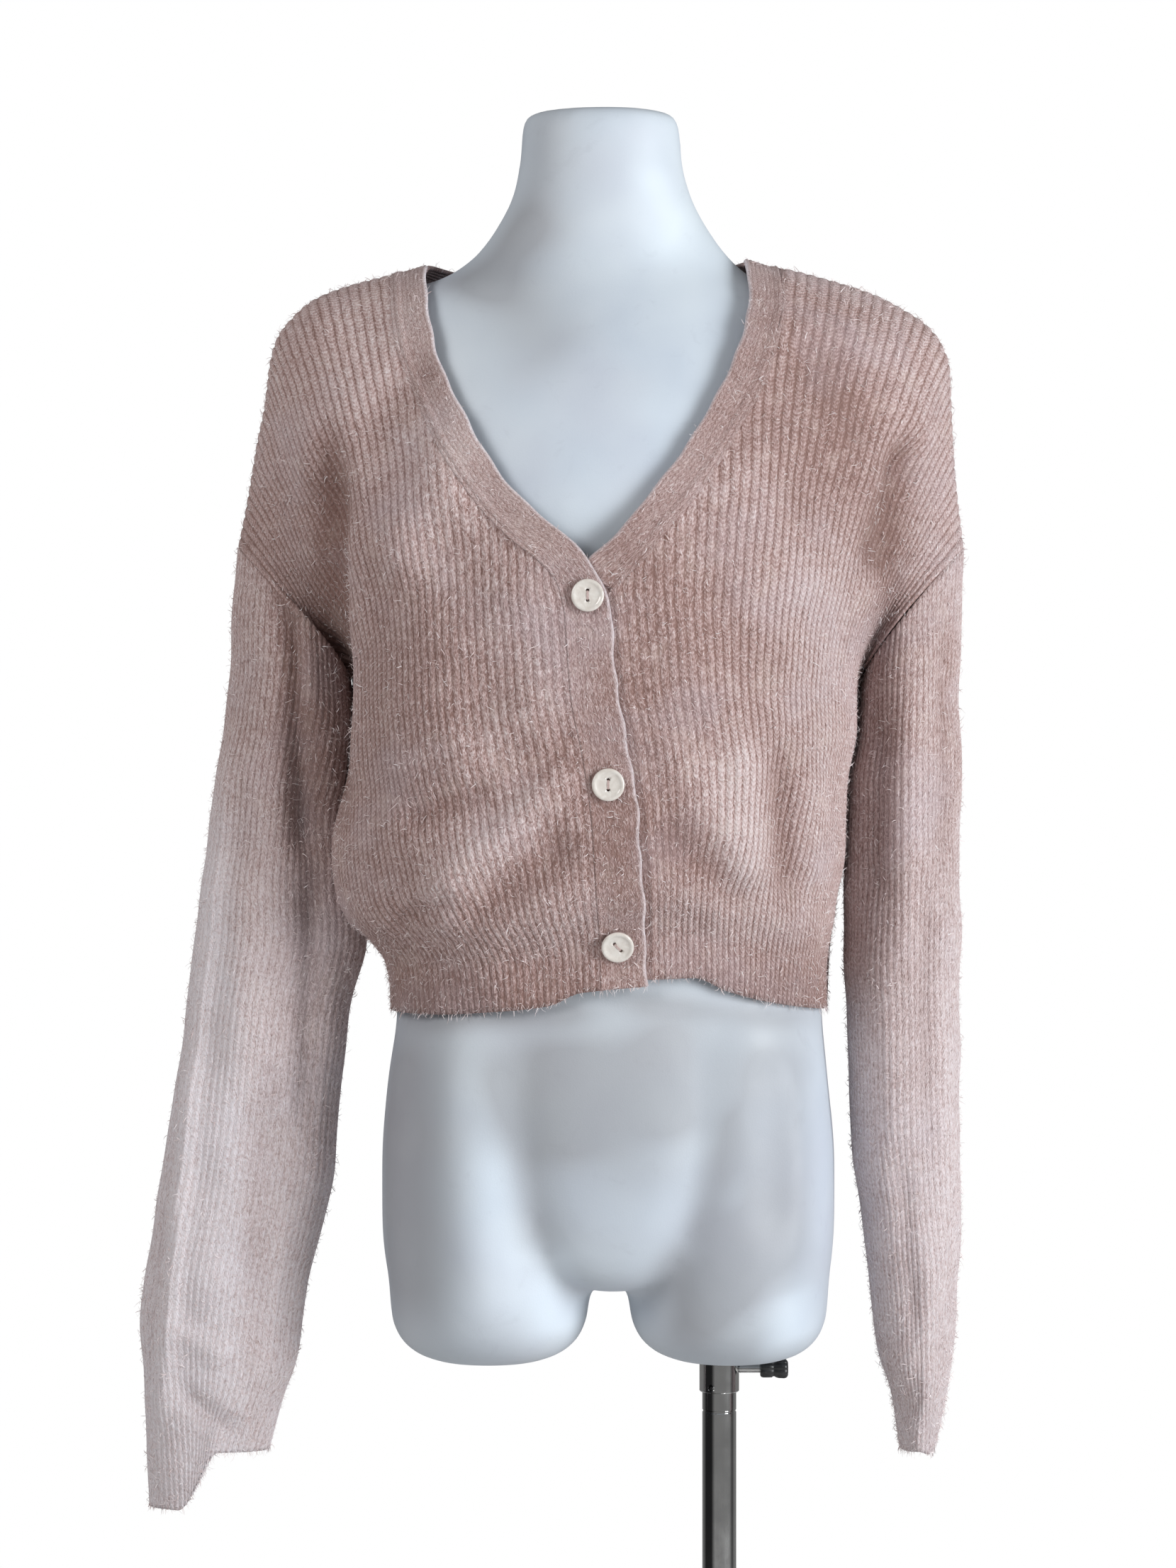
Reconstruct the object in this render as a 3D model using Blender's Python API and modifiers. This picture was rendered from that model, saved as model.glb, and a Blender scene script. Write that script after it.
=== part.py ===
"""A cropped rib-knit cardigan on a limbless dress form, which stands on a sliding pole.

Metres, +Z up. The front faces -Y, and left and right are the wearer's, so the right front lies at -X.
The origin is on the floor, under the middle of the base plate.
"""

import math

import bmesh
import bpy
import numpy as np
from mathutils import Matrix, Quaternion, Vector

SEAM_GAP = 0.0003
WALL = 0.0018
RIB_HEIGHT = 0.0012
RIB_SIDES = 2
LINING_STEP = 4

FRONT_RIBS = 26
BACK_HALF_RIBS = 26
SLEEVE_RIBS = 24
SLEEVE_ROWS = 13
BAND_ROWS = 36

HEM_Z = 0.768
UNDERARM_Z = 1.000
CENTRE_RISE = 0.062
HEM_RIB_LENGTH = 0.045

BAND_WIDTH = 0.030
NECK_BAND_WIDTH = 0.024
BAND_WALL = 0.0026
BAND_RIB = 0.0006
BAND_GAP = 0.0023
NECK_SEAM_GAP = 0.0007
NECK_BAND_LEAN = 0.010
NECK_BAND_END_RISE = 0.0055
NECK_BAND_RISE = 0.0165
LAP = 0.0048
LAP_TOP_Z = 1.068
ARM_DEPTH = 0.054
SECTION_POWER = 2.5
BACK_ROUNDING = 4.0

BUTTON_RADIUS = 0.011
BUTTON_THICKNESS = 0.0032
BUTTON_HOLE_RADIUS = 0.0012
BUTTON_HOLE_SPACING = 0.0064
BUTTON_SEAT = 0.0005
BUTTON_SHAPE = ((0.0, 0.72), (0.70, 0.78), (0.84, 1.0), (0.95, 0.9), (1.0, 0.4), (0.78, 0.0), (0.0, 0.0))
BUTTON_PROFILE = [(r * BUTTON_RADIUS, h * BUTTON_THICKNESS) for r, h in BUTTON_SHAPE]

POLE_X = 0.080
POLE_Y = 0.005
POLE_RADIUS = 0.012
POLE_TOP_Z = 0.745
BORE_RADIUS = 0.0126
BORE_TOP_Z = 0.885
FORM_BOTTOM_Z = 0.520
COLLAR_RADIUS = 0.014
COLLAR_BORE_RADIUS = 0.0124
COLLAR_LENGTH = 0.023
SCREW_Z = 0.5125
SCREW_RADIUS = 0.0032
SCREW_HOLE_RADIUS = 0.0037
KNOB_START_X = 0.109
KNOB_LENGTH = 0.0195
BASE_RADIUS = 0.190
BASE_THICKNESS = 0.008
BASE_BEVEL = 0.002


def table(columns, *rows):
    """Rows of numbers as named columns."""
    names = columns.split()
    return {name: np.array([row[i] for row in rows], float) for i, name in enumerate(names)}


def smooth(keys, values, at):
    """The value at each place on a smooth curve through the rows, which never overshoots them."""
    at = np.clip(np.asarray(at, float), keys[0], keys[-1])
    step = np.diff(keys)
    slope = np.diff(values) / step
    tangent = np.empty(len(keys))
    tangent[0] = slope[0]
    tangent[-1] = slope[-1]
    same_way = slope[:-1] * slope[1:] > 0
    both = np.where(same_way, slope[:-1] + slope[1:], 1.0)
    tangent[1:-1] = np.where(same_way, 2 * slope[:-1] * slope[1:] / both, 0.0)
    i = np.clip(np.searchsorted(keys, at, side="right") - 1, 0, len(keys) - 2)
    t = (at - keys[i]) / step[i]
    start = (1 + 2 * t) * (1 - t) ** 2 * values[i] + t * (1 - t) ** 2 * step[i] * tangent[i]
    end = t * t * (3 - 2 * t) * values[i + 1] + t * t * (t - 1) * step[i] * tangent[i + 1]
    return start + end


def ramp(low, high, at):
    """0 below low, 1 above high, and an even S between."""
    t = np.clip((at - low) / (high - low), 0, 1)
    return t * t * (3 - 2 * t)


# The knitted tube round the body, outside face: half widths at each side, and the depth in front and behind.
BODY = table(
    "z right left front back",
    (0.768, 0.1500, 0.1550, 0.1050, 0.1150),
    (0.800, 0.1540, 0.1565, 0.1080, 0.1180),
    (0.815, 0.1640, 0.1575, 0.1160, 0.1220),
    (0.832, 0.1820, 0.1600, 0.1270, 0.1280),
    (0.850, 0.1890, 0.1620, 0.1330, 0.1310),
    (0.882, 0.1920, 0.1660, 0.1370, 0.1310),
    (0.925, 0.1910, 0.1700, 0.1380, 0.1260),
    (0.975, 0.1890, 0.1750, 0.1390, 0.1200),
    (1.020, 0.1890, 0.1800, 0.1400, 0.1160),
    (1.110, 0.1900, 0.1860, 0.1370, 0.1140),
)

# The height of the hem's edge over HEM_Z, across the two fronts.
HEM_LIFT = {
    -1: table(
        "x lift",
        (-0.150, 0.0), (-0.118, 0.0), (-0.073, 0.003), (-0.040, 0.007), (-0.018, 0.016), (0.030, 0.021),
    ),
    1: table(
        "x lift",
        (-0.010, 0.024), (0.031, 0.025), (0.059, 0.026), (0.081, 0.017), (0.109, 0.009), (0.153, 0.001),
    ),
}
HEM_LIFT_FADE_Z = 0.900

# The free edge of each front, from the hem up to the shoulder at the neck.
FRONT_EDGE = {
    -1: table(
        "x z",
        (0.0275, 0.768), (0.0265, 0.807), (0.0245, 0.844), (0.0210, 0.905), (0.0140, 0.953), (0.0074, 0.985),
        (0.0045, 1.022), (0.0028, 1.040), (-0.0015, 1.055), (-0.0070, 1.068), (-0.0145, 1.079),
        (-0.0290, 1.0935), (-0.0480, 1.1085), (-0.0650, 1.126), (-0.0775, 1.1435), (-0.0910, 1.1655),
        (-0.1045, 1.193), (-0.1135, 1.2135), (-0.1200, 1.2345), (-0.1235, 1.2595), (-0.1260, 1.290),
    ),
    1: table(
        "x z",
        (0.0010, 0.768), (-0.0005, 0.844), (-0.0045, 0.905), (-0.0110, 0.953), (-0.0180, 0.985),
        (-0.0220, 1.022), (-0.0235, 1.050), (-0.0200, 1.068), (-0.0115, 1.0775), (0.0075, 1.0945),
        (0.0205, 1.1115), (0.0355, 1.129), (0.0530, 1.153), (0.0655, 1.175), (0.0790, 1.198),
        (0.0880, 1.219), (0.0945, 1.242), (0.0985, 1.259), (0.0990, 1.278), (0.0960, 1.2945),
    ),
}

# The outline over the shoulder and down the dropped sleeve head, from the neck band out.
SHOULDER = {
    -1: table(
        "x z",
        (-0.031, 1.296), (-0.100, 1.296), (-0.150, 1.284), (-0.184, 1.2755), (-0.2065, 1.2655),
        (-0.220, 1.2545), (-0.231, 1.2405), (-0.2365, 1.2215), (-0.2405, 1.191), (-0.245, 1.169),
        (-0.2535, 1.119), (-0.259, 1.0915),
    ),
    1: table(
        "x z",
        (0.003, 1.299), (0.075, 1.299), (0.120, 1.2885), (0.1585, 1.2795), (0.1865, 1.271), (0.2085, 1.260),
        (0.225, 1.249), (0.236, 1.235), (0.2415, 1.2185), (0.243, 1.191), (0.2455, 1.1465), (0.2515, 1.0915),
    ),
}

# How the ribs share out the girth at the chest: more of them lie in the pocket under the arm.
RIB_SHARE = table("rib girth", (-0.5, -0.77), (0.0, 0.0), (0.354, 0.52), (0.69, 0.79), (1.0, 1.0))

# A sleeve from the armhole down to the cuff: its outer and inner side, and its depth in front and behind.
SLEEVE = {
    -1: table(
        "row outer_x outer_z inner_x inner_z front back",
        (0, -0.2590, 1.0915, -0.1890, 1.000, 0.054, 0.054),
        (1, -0.2640, 1.0200, -0.1985, 0.955, 0.050, 0.050),
        (2, -0.2720, 0.9370, -0.1995, 0.905, 0.044, 0.046),
        (3, -0.2810, 0.8750, -0.1995, 0.860, 0.040, 0.044),
        (4, -0.2890, 0.8200, -0.1800, 0.816, 0.036, 0.044),
        (5, -0.2960, 0.7650, -0.1810, 0.770, 0.033, 0.042),
        (6, -0.3050, 0.7000, -0.1880, 0.700, 0.032, 0.038),
        (7, -0.3160, 0.6350, -0.1960, 0.635, 0.031, 0.035),
        (8, -0.3250, 0.5750, -0.2110, 0.572, 0.030, 0.032),
        (9, -0.3275, 0.5350, -0.2170, 0.530, 0.028, 0.030),
        (10, -0.3230, 0.4920, -0.2285, 0.492, 0.025, 0.026),
        (11, -0.3215, 0.4570, -0.2380, 0.457, 0.022, 0.024),
    ),
    1: table(
        "row outer_x outer_z inner_x inner_z front back",
        (0, 0.2515, 1.0915, 0.1800, 1.000, 0.054, 0.054),
        (1, 0.2495, 1.0200, 0.1865, 0.955, 0.052, 0.052),
        (2, 0.2490, 0.9370, 0.1790, 0.905, 0.050, 0.050),
        (3, 0.2485, 0.8700, 0.1735, 0.865, 0.048, 0.048),
        (4, 0.2490, 0.8120, 0.1680, 0.812, 0.046, 0.046),
        (5, 0.2490, 0.7600, 0.1705, 0.760, 0.045, 0.045),
        (6, 0.2485, 0.6910, 0.1720, 0.700, 0.044, 0.044),
        (7, 0.2485, 0.6400, 0.1780, 0.640, 0.043, 0.043),
        (8, 0.2475, 0.5800, 0.1860, 0.580, 0.042, 0.042),
        (9, 0.2450, 0.5330, 0.1920, 0.530, 0.040, 0.040),
        (10, 0.2390, 0.4980, 0.2010, 0.500, 0.038, 0.036),
        (11, 0.2300, 0.4640, 0.2090, 0.459, 0.034, 0.032),
    ),
}
CUFF_DROP = {-1: 0.040, 1: 0.004}
CUFF_DROP_ROWS = 2.0

# Soft folds: a line in the front view, its width, and its height out of the cloth, below nought for a trough.
FOLDS = table(
    "x0 z0 x1 z1 width height",
    (-0.190, 1.170, -0.187, 0.900, 0.014, -0.010),
    (0.212, 1.166, 0.180, 1.070, 0.013, -0.010),
    (-0.030, 0.930, -0.128, 0.842, 0.016, 0.006),
    (-0.020, 0.890, -0.105, 0.826, 0.014, -0.006),
    (0.030, 0.900, 0.100, 0.838, 0.016, -0.005),
    (0.118, 0.955, 0.124, 0.842, 0.016, -0.006),
    (0.090, 0.960, 0.092, 0.850, 0.016, 0.005),
    (-0.090, 1.180, -0.150, 1.060, 0.022, 0.004),
    (0.080, 1.150, 0.140, 1.040, 0.022, 0.004),
)
BACK_FOLDS = table(
    "x0 z0 x1 z1 width height",
    (-0.188, 1.150, -0.186, 0.920, 0.014, -0.009),
    (0.200, 1.150, 0.180, 0.960, 0.014, -0.009),
    (-0.060, 1.230, -0.100, 0.930, 0.022, 0.005),
    (0.070, 1.220, 0.110, 0.910, 0.022, 0.005),
    (0.010, 0.960, 0.020, 0.850, 0.018, -0.005),
    (-0.100, 0.900, -0.120, 0.838, 0.014, -0.005),
)

# The dress form, outside: half widths and depths, from the top of the neck to the crotch.
FORM = table(
    "z right left front back power",
    (1.4030, 0.0520, 0.0460, 0.0330, 0.0540, 2.0),
    (1.3990, 0.0570, 0.0510, 0.0380, 0.0590, 2.0),
    (1.3700, 0.0605, 0.0530, 0.0410, 0.0600, 2.0),
    (1.3400, 0.0660, 0.0600, 0.0430, 0.0580, 2.0),
    (1.3170, 0.0780, 0.0720, 0.0450, 0.0540, 2.0),
    (1.3000, 0.0900, 0.0840, 0.0450, 0.0490, 2.0),
    (1.2880, 0.1040, 0.0950, 0.0440, 0.0470, 2.0),
    (1.2790, 0.1210, 0.1080, 0.0430, 0.0460, 2.0),
    (1.2730, 0.1440, 0.1190, 0.0420, 0.0470, 2.0),
    (1.2640, 0.1640, 0.1390, 0.0430, 0.0510, 2.0),
    (1.2480, 0.1760, 0.1610, 0.0495, 0.0630, 2.0),
    (1.2180, 0.1800, 0.1750, 0.0700, 0.0800, 2.1),
    (1.1700, 0.1720, 0.1710, 0.0980, 0.0950, 2.2),
    (1.1100, 0.1520, 0.1510, 0.1190, 0.0970, 2.3),
    (1.0500, 0.1390, 0.1390, 0.1120, 0.0930, 2.2),
    (0.9900, 0.1270, 0.1270, 0.0950, 0.0870, 2.2),
    (0.9200, 0.1210, 0.1220, 0.0870, 0.0860, 2.2),
    (0.8500, 0.1330, 0.1360, 0.0930, 0.0990, 2.2),
    (0.7950, 0.1470, 0.1510, 0.0990, 0.1110, 2.4),
    (0.7640, 0.1473, 0.1520, 0.1000, 0.1115, 2.4),
    (0.7200, 0.1535, 0.1560, 0.1020, 0.1150, 2.4),
    (0.6500, 0.1585, 0.1615, 0.1040, 0.1180, 2.4),
    (0.6000, 0.1570, 0.1600, 0.1010, 0.1150, 2.4),
    (0.5720, 0.1530, 0.1570, 0.0960, 0.1090, 2.4),
)

# One thigh stub under the form, about its own middle: half width, and depth in front and behind.
STUB = table(
    "z half front back",
    (0.6300, 0.0600, 0.0800, 0.0920),
    (0.5740, 0.0700, 0.0900, 0.1020),
    (0.5500, 0.0680, 0.0880, 0.1000),
    (0.5350, 0.0610, 0.0800, 0.0910),
    (0.5250, 0.0460, 0.0620, 0.0720),
    (0.5200, 0.0240, 0.0260, 0.0360),
)
STUB_X = {-1: -0.082, 1: 0.086}
STUB_POWER = 2.2

# The clamp knob: its radius at shares of its length, from the pole outward.
KNOB = table(
    "along radius",
    (0.00, 0.0055), (0.10, 0.0064), (0.41, 0.0064), (0.49, 0.0056), (0.56, 0.0066), (0.85, 0.0070),
    (1.00, 0.0060),
)


def reference_section():
    """Across, forward and share of the girth along a quarter of a body section with half widths of 1."""
    angle = np.linspace(0, math.pi / 2, 2001)
    across = np.sin(angle) ** (2 / SECTION_POWER)
    forward = np.cos(angle) ** (2 / SECTION_POWER)
    forward[-1] = 0
    length = np.hypot(np.diff(across) * 0.185, np.diff(forward) * 0.138)
    share = np.concatenate([[0], np.cumsum(length)])
    return across, forward, share / share[-1]


ACROSS, FORWARD, SHARE = reference_section()


def path_length(x, z):
    return np.concatenate([[0], np.cumsum(np.hypot(np.diff(x), np.diff(z)))])


def width_at(z):
    """A band's width: that of the button band below the neckline, and of the neck band above it."""
    return BAND_WIDTH + (NECK_BAND_WIDTH - BAND_WIDTH) * ramp(1.03, 1.10, z)


def edge_curve(side, count, inset):
    """Points along a front's free edge, moved into the front by a share of the band's width."""
    edge = FRONT_EDGE[side]
    length = path_length(edge["x"], edge["z"])
    at = np.linspace(0, length[-1], count)
    x = smooth(length, edge["x"], at)
    z = smooth(length, edge["z"], at)
    tangent_x = np.gradient(x, at)
    tangent_z = np.gradient(z, at)
    tangent_x[0] = 0
    tangent_z[0] = 1
    scale = np.hypot(tangent_x, tangent_z)
    reach = inset * width_at(z)
    return x + side * reach * tangent_z / scale, z - side * reach * tangent_x / scale


def seam_x(side, z):
    """Where the panel of a front starts: outside its band."""
    x, height = edge_curve(side, 600, 1.0)
    rising = np.maximum.accumulate(height)
    return side * np.interp(z, rising, side * x)


def girth_share(side, u, z):
    """The share of the quarter girth at which a rib lies. It is 0 at the middle and 1 at the side seam."""
    half = smooth(BODY["z"], BODY["right" if side < 0 else "left"], z)
    start = np.interp(side * seam_x(side, np.minimum(z, UNDERARM_Z + CENTRE_RISE)) / half, ACROSS, SHARE)
    spread = smooth(RIB_SHARE["rib"], RIB_SHARE["girth"], u)
    even = ramp(0.80, 0.96, z)
    return start + (1 - start) * (u + (spread - u) * even)


def on_section(side, share, z, depth):
    """A point of the body's section, with the sign of the share kept across the middle."""
    half = smooth(BODY["z"], BODY["right" if side < 0 else "left"], z)
    reach = smooth(BODY["z"], BODY[depth], z)
    across = np.interp(np.abs(share), SHARE, ACROSS) * np.sign(share)
    return side * half * across, reach * np.interp(np.abs(share), SHARE, FORWARD)


def chest_z(u):
    return UNDERARM_Z + CENTRE_RISE * (1 - np.minimum(u, 1)) ** 2


def shoulder_point(side, u):
    line = SHOULDER[side]
    length = path_length(line["x"], line["z"])
    share = length / length[-1]
    x = smooth(share, line["x"], np.maximum(u, 0))
    z = smooth(share, line["z"], np.maximum(u, 0))
    return x + np.where(u < 0, side * u * length[-1], 0), z


def arm_term(u, t):
    """How far the dropped sleeve head stands out, beyond the chest's own rounding."""
    sharpness = 1.3 - 0.8 * np.clip(u, 0, 1) ** 8
    return ARM_DEPTH * np.clip(u, 0, 1) ** 6 * np.sin(math.pi * np.clip(t, 0, 1)) ** sharpness


def body_point(side, u, w, depth):
    """A point of the cloth: w runs from the hem, 0, to the underarm, 1, and the shoulder, 2."""
    u, w = np.broadcast_arrays(np.asarray(u, float), np.asarray(w, float))
    top = chest_z(u)
    low_z = HEM_Z + (top - HEM_Z) * np.minimum(w, 1)
    share = girth_share(side, u, low_z) if depth == "front" else back_share(u, low_z)
    x, y = on_section(side, share, low_z, depth)
    t = np.clip(w - 1, 0, 1)
    end_x, end_z = shoulder_point(side, u)
    up_x = x + (end_x - x) * t**1.3
    rounding = 2.0 if depth == "front" else BACK_ROUNDING
    up_y = y * np.sqrt(np.maximum(1 - t**rounding, 0)) + arm_term(u, t)
    up_z = top + (end_z - top) * t
    above = w > 1
    return np.where(above, up_x, x), np.where(above, up_y, y), np.where(above, up_z, low_z)


def back_share(u, z):
    spread = smooth(RIB_SHARE["rib"], RIB_SHARE["girth"], u)
    return u + (spread - u) * ramp(0.80, 0.96, z)


def w_at(side, u, z):
    """The w at which a rib reaches a height."""
    top = chest_z(u)
    end_z = shoulder_point(side, u)[1]
    return np.where(z < top, (z - HEM_Z) / (top - HEM_Z), 1 + np.clip((z - top) / (end_z - top), 0, 1))


def depth_at(side, x, z):
    """How far forward the front's cloth lies at a place in the front view."""
    low = np.full(np.shape(x), -0.45)
    high = np.full(np.shape(x), 1.0)
    for _ in range(34):
        middle = (low + high) / 2
        here = body_point(side, middle, w_at(side, middle, z), "front")[0]
        outside = side * here > side * x
        high = np.where(outside, middle, high)
        low = np.where(outside, low, middle)
    return body_point(side, low, w_at(side, low, z), "front")[1]


def lift(side, x, z):
    """The hem's rise at a place across the front, which fades out up the body."""
    row = HEM_LIFT[side]
    return smooth(row["x"], row["lift"], x) * (1 - ramp(HEM_Z, HEM_LIFT_FADE_Z, z))


def fold_height(folds, x, z):
    """The folds' height out of the cloth at a place in the front view."""
    height = np.zeros(np.shape(x))
    for x0, z0, x1, z1, width, rise in zip(*folds.values()):
        run = (x1 - x0) ** 2 + (z1 - z0) ** 2
        along = ((x - x0) * (x1 - x0) + (z - z0) * (z1 - z0)) / run
        near = np.clip(along, 0, 1)
        apart = np.hypot(x - x0 - near * (x1 - x0), z - z0 - near * (z1 - z0))
        ends = np.exp(-((np.maximum(np.abs(along - 0.5) - 0.3, 0) / 0.16) ** 2))
        height = height + rise * np.exp(-((apart / width) ** 2)) * ends
    return height


def rows_along(points, knots):
    """Each column of points, read again at the given shares of its own length above the hem's rib."""
    step = np.linalg.norm(np.diff(points, axis=1), axis=2)
    length = np.concatenate([np.zeros((len(points), 1)), np.cumsum(step, axis=1)], axis=1)
    out = np.empty((len(points), len(knots), 3))
    for i, (column, at) in enumerate(zip(points, length)):
        rest = at[-1] - HEM_RIB_LENGTH
        wanted = [k if fixed else HEM_RIB_LENGTH + k * rest for fixed, k in knots]
        for axis in range(3):
            out[i, :, axis] = np.interp(wanted, at, column[:, axis])
    return out


FRONT_ROWS = [(True, 0), (True, 0.022), (True, 0.040)] + [
    (False, k) for k in (0.035, 0.10, 0.21, 0.34, 0.47, 0.60, 0.73, 0.84, 0.93, 1.0)
]


def neck_w(side, u, height_over):
    """The w at which each rib meets the neckline, or 2 where it runs to the shoulder."""
    low = np.ones(np.shape(u))
    high = np.full(np.shape(u), 2.0)
    reaches = height_over(u, high) > 1e-6
    for _ in range(34):
        middle = (low + high) / 2
        over = height_over(u, middle) > 0
        high = np.where(over, middle, high)
        low = np.where(over, low, middle)
    return np.where(reaches, low, 2.0)


def front_points(side, columns):
    """The outer face of a front, rib by rib, from the band's seam to the side."""
    u = np.linspace(0, 1, columns)

    def inside_neck(u, w):
        x, _, z = body_point(side, u, w, "front")
        return side * seam_x(side, z) - side * x

    ends = neck_w(side, u, inside_neck)
    shoulder_start = u[np.argmax(ends > 1.9999)]
    ends = np.where(u >= shoulder_start, 2.0, ends)
    w = np.linspace(0, 1, 260)[None, :] * ends[:, None]
    x, y, z = body_point(side, u[:, None], w, "front")
    if side < 0:
        near = 1 - ramp(0.02, 0.22, u)[:, None]
        y = y + LAP * near * (1 - ramp(LAP_TOP_Z, LAP_TOP_Z + 0.05, z))
    points = np.stack([x, -y - SEAM_GAP / 2, z + lift(side, x, z)], axis=2)
    return rows_along(points, FRONT_ROWS)


def back_neck_z(x):
    """The back's neckline: a shallow scoop between the two shoulders."""
    middle = (SHOULDER[-1]["x"][2] + SHOULDER[1]["x"][2]) / 2
    half = (SHOULDER[1]["x"][2] - SHOULDER[-1]["x"][2]) / 2
    across = np.clip(np.abs(x - middle) / half, 0, 1)
    return 1.268 + 0.018 * across**3


def back_points(columns):
    """The outer face of the back, from the right side seam to the left one."""
    u = np.linspace(-1, 1, columns)
    halves = []
    for side, part in ((-1, -u[u < 0]), (1, u[u >= 0])):

        def over_neck(u, w, side=side):
            x, _, z = body_point(side, u, w, "back")
            return z - back_neck_z(x)

        on_neck = shoulder_point(side, part)[0] * side < abs(SHOULDER[side]["x"][2]) - 1e-6
        ends = np.where(on_neck, neck_w(side, part, over_neck), 2.0)
        w = np.linspace(0, 1, 260)[None, :] * ends[:, None]
        x, y, z = body_point(side, part[:, None], w, "back")
        halves.append(np.stack([x, y + SEAM_GAP / 2, z], axis=2))
    return rows_along(np.concatenate(halves), FRONT_ROWS)


def sleeve_points(side, columns, rows):
    """The outer face of a sleeve as rings of points, from the underarm round the front."""
    lines = SLEEVE[side]
    row = np.linspace(0, lines["row"][-1], rows)
    angle = np.linspace(-math.pi / 2, 1.5 * math.pi, 721)
    outer = (1 + np.sin(angle)) / 2
    forward = np.cos(angle) >= 0
    rings = []
    for at in row:
        value = {name: smooth(lines["row"], lines[name], at) for name in lines}
        bow = 1.3 - 0.3 * min(at / 2, 1)
        x = value["inner_x"] + (value["outer_x"] - value["inner_x"]) * outer**bow
        z = value["inner_z"] + (value["outer_z"] - value["inner_z"]) * outer
        drop = ramp(0, CUFF_DROP_ROWS, at - lines["row"][-1] + CUFF_DROP_ROWS)
        z = z - CUFF_DROP[side] * drop * ramp(0.5, 0.85, outer)
        reach = np.where(forward, value["front"], value["back"])
        y = -np.where(forward, 1, -1) * reach * np.sqrt(np.maximum(np.sin(math.pi * outer), 0))
        away = 0.0014 + 0.0115 * (1 - outer) ** 2
        start = 1 - ramp(0, 1, at)
        x = x + side * 0.81 * away * start
        z = z - 0.59 * away * start
        ring = np.stack([x, y, z], axis=1)
        length = np.concatenate([[0], np.cumsum(np.linalg.norm(np.diff(ring, axis=0), axis=1))])
        even = np.linspace(0, length[-1], columns + 1)[:-1]
        rings.append(np.stack([np.interp(even, length, ring[:, axis]) for axis in range(3)], axis=1))
    return np.stack(rings, axis=1)


def normals(points, closed):
    """The outward direction at each point of a grid of columns and rows."""
    if closed:
        along = np.roll(points, -1, axis=0) - np.roll(points, 1, axis=0)
    else:
        along = np.gradient(points, axis=0)
    up = np.gradient(points, axis=1)
    out = np.cross(along, up)
    return out / np.linalg.norm(out, axis=2, keepdims=True)


def make_object(name, bm, material):
    bmesh.ops.recalc_face_normals(bm, faces=bm.faces)
    mesh = bpy.data.meshes.new(name)
    bm.to_mesh(mesh)
    bm.free()
    obj = bpy.data.objects.new(name, mesh)
    mesh.materials.append(material)
    mesh.shade_smooth()
    mesh.set_sharp_from_angle(angle=math.radians(50))
    PARTS.objects.link(obj)
    return obj


def knit_wall(name, outer, inner, closed, material):
    """A wall of cloth between a ribbed grid and a plain one whose columns stand further apart."""
    bm = bmesh.new()
    step = (len(outer) if closed else len(outer) - 1) // (len(inner) if closed else len(inner) - 1)
    out = [[bm.verts.new(point) for point in column] for column in outer]
    lining = [[bm.verts.new(point) for point in column] for column in inner]
    if closed:
        out.append(out[0])
        lining.append(lining[0])
    for grid in (out, lining):
        for a, b in zip(grid, grid[1:]):
            for j in range(len(a) - 1):
                bm.faces.new((a[j], b[j], b[j + 1], a[j + 1]))
    for end in (0, -1):
        for i in range(len(lining) - 1):
            rim = [column[end] for column in out[i * step : (i + 1) * step + 1]]
            bm.faces.new(rim + [lining[i + 1][end], lining[i][end]])
    if not closed:
        for end in (0, -1):
            for j in range(len(out[0]) - 1):
                bm.faces.new((out[end][j], out[end][j + 1], lining[end][j + 1], lining[end][j]))
    return make_object(name, bm, material)


def ribbed(name, points, outward, closed, lining_step, side_of_plane=0):
    """A panel with a rib on every second column, kept on its own side of the side seams' plane."""
    raised = (np.arange(len(points)) % RIB_SIDES == 0)[:, None, None] * RIB_HEIGHT
    raised = np.repeat(raised, points.shape[1], axis=1)
    raised[:, 0 if closed else -1] = 0
    if not closed:
        raised[0] = raised[-1] = 0
    outer = points + outward * raised
    inner = (points - outward * WALL)[::lining_step]
    for grid in (outer, inner):
        if side_of_plane < 0:
            grid[..., 1] = np.minimum(grid[..., 1], -SEAM_GAP / 2)
        if side_of_plane > 0:
            grid[..., 1] = np.maximum(grid[..., 1], SEAM_GAP / 2)
    return knit_wall(name, outer, inner, closed, YARN)


def material(name, colour, roughness, metallic=0.0):
    made = bpy.data.materials.new(name)
    made.use_nodes = True
    shader = made.node_tree.nodes["Principled BSDF"]
    shader.inputs["Base Color"].default_value = (*colour, 1)
    shader.inputs["Roughness"].default_value = roughness
    shader.inputs["Metallic"].default_value = metallic
    return made


def front(side):
    points = front_points(side, FRONT_RIBS * RIB_SIDES + 1)
    outward = normals(points, False) * side
    points = points + outward * fold_height(FOLDS, points[..., 0], points[..., 2])[..., None]
    points[..., 1] = np.minimum(points[..., 1], -SEAM_GAP / 2)
    outward = normals(points, False) * side
    return ribbed(f"front_{NAME_OF[side]}", points, outward, False, LINING_STEP, -1)


def back():
    points = back_points(2 * BACK_HALF_RIBS * RIB_SIDES + 1)
    outward = -normals(points, False)
    points = points + outward * fold_height(BACK_FOLDS, points[..., 0], points[..., 2])[..., None]
    outward = -normals(points, False)
    neck_band(points, outward)
    return ribbed("back", points, outward, False, 1, 1)


def sleeve(side):
    points = sleeve_points(side, SLEEVE_RIBS * RIB_SIDES, SLEEVE_ROWS)
    outward = normals(points, True) * -side
    return ribbed(f"sleeve_{NAME_OF[side]}", points, outward, True, LINING_STEP)


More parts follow.
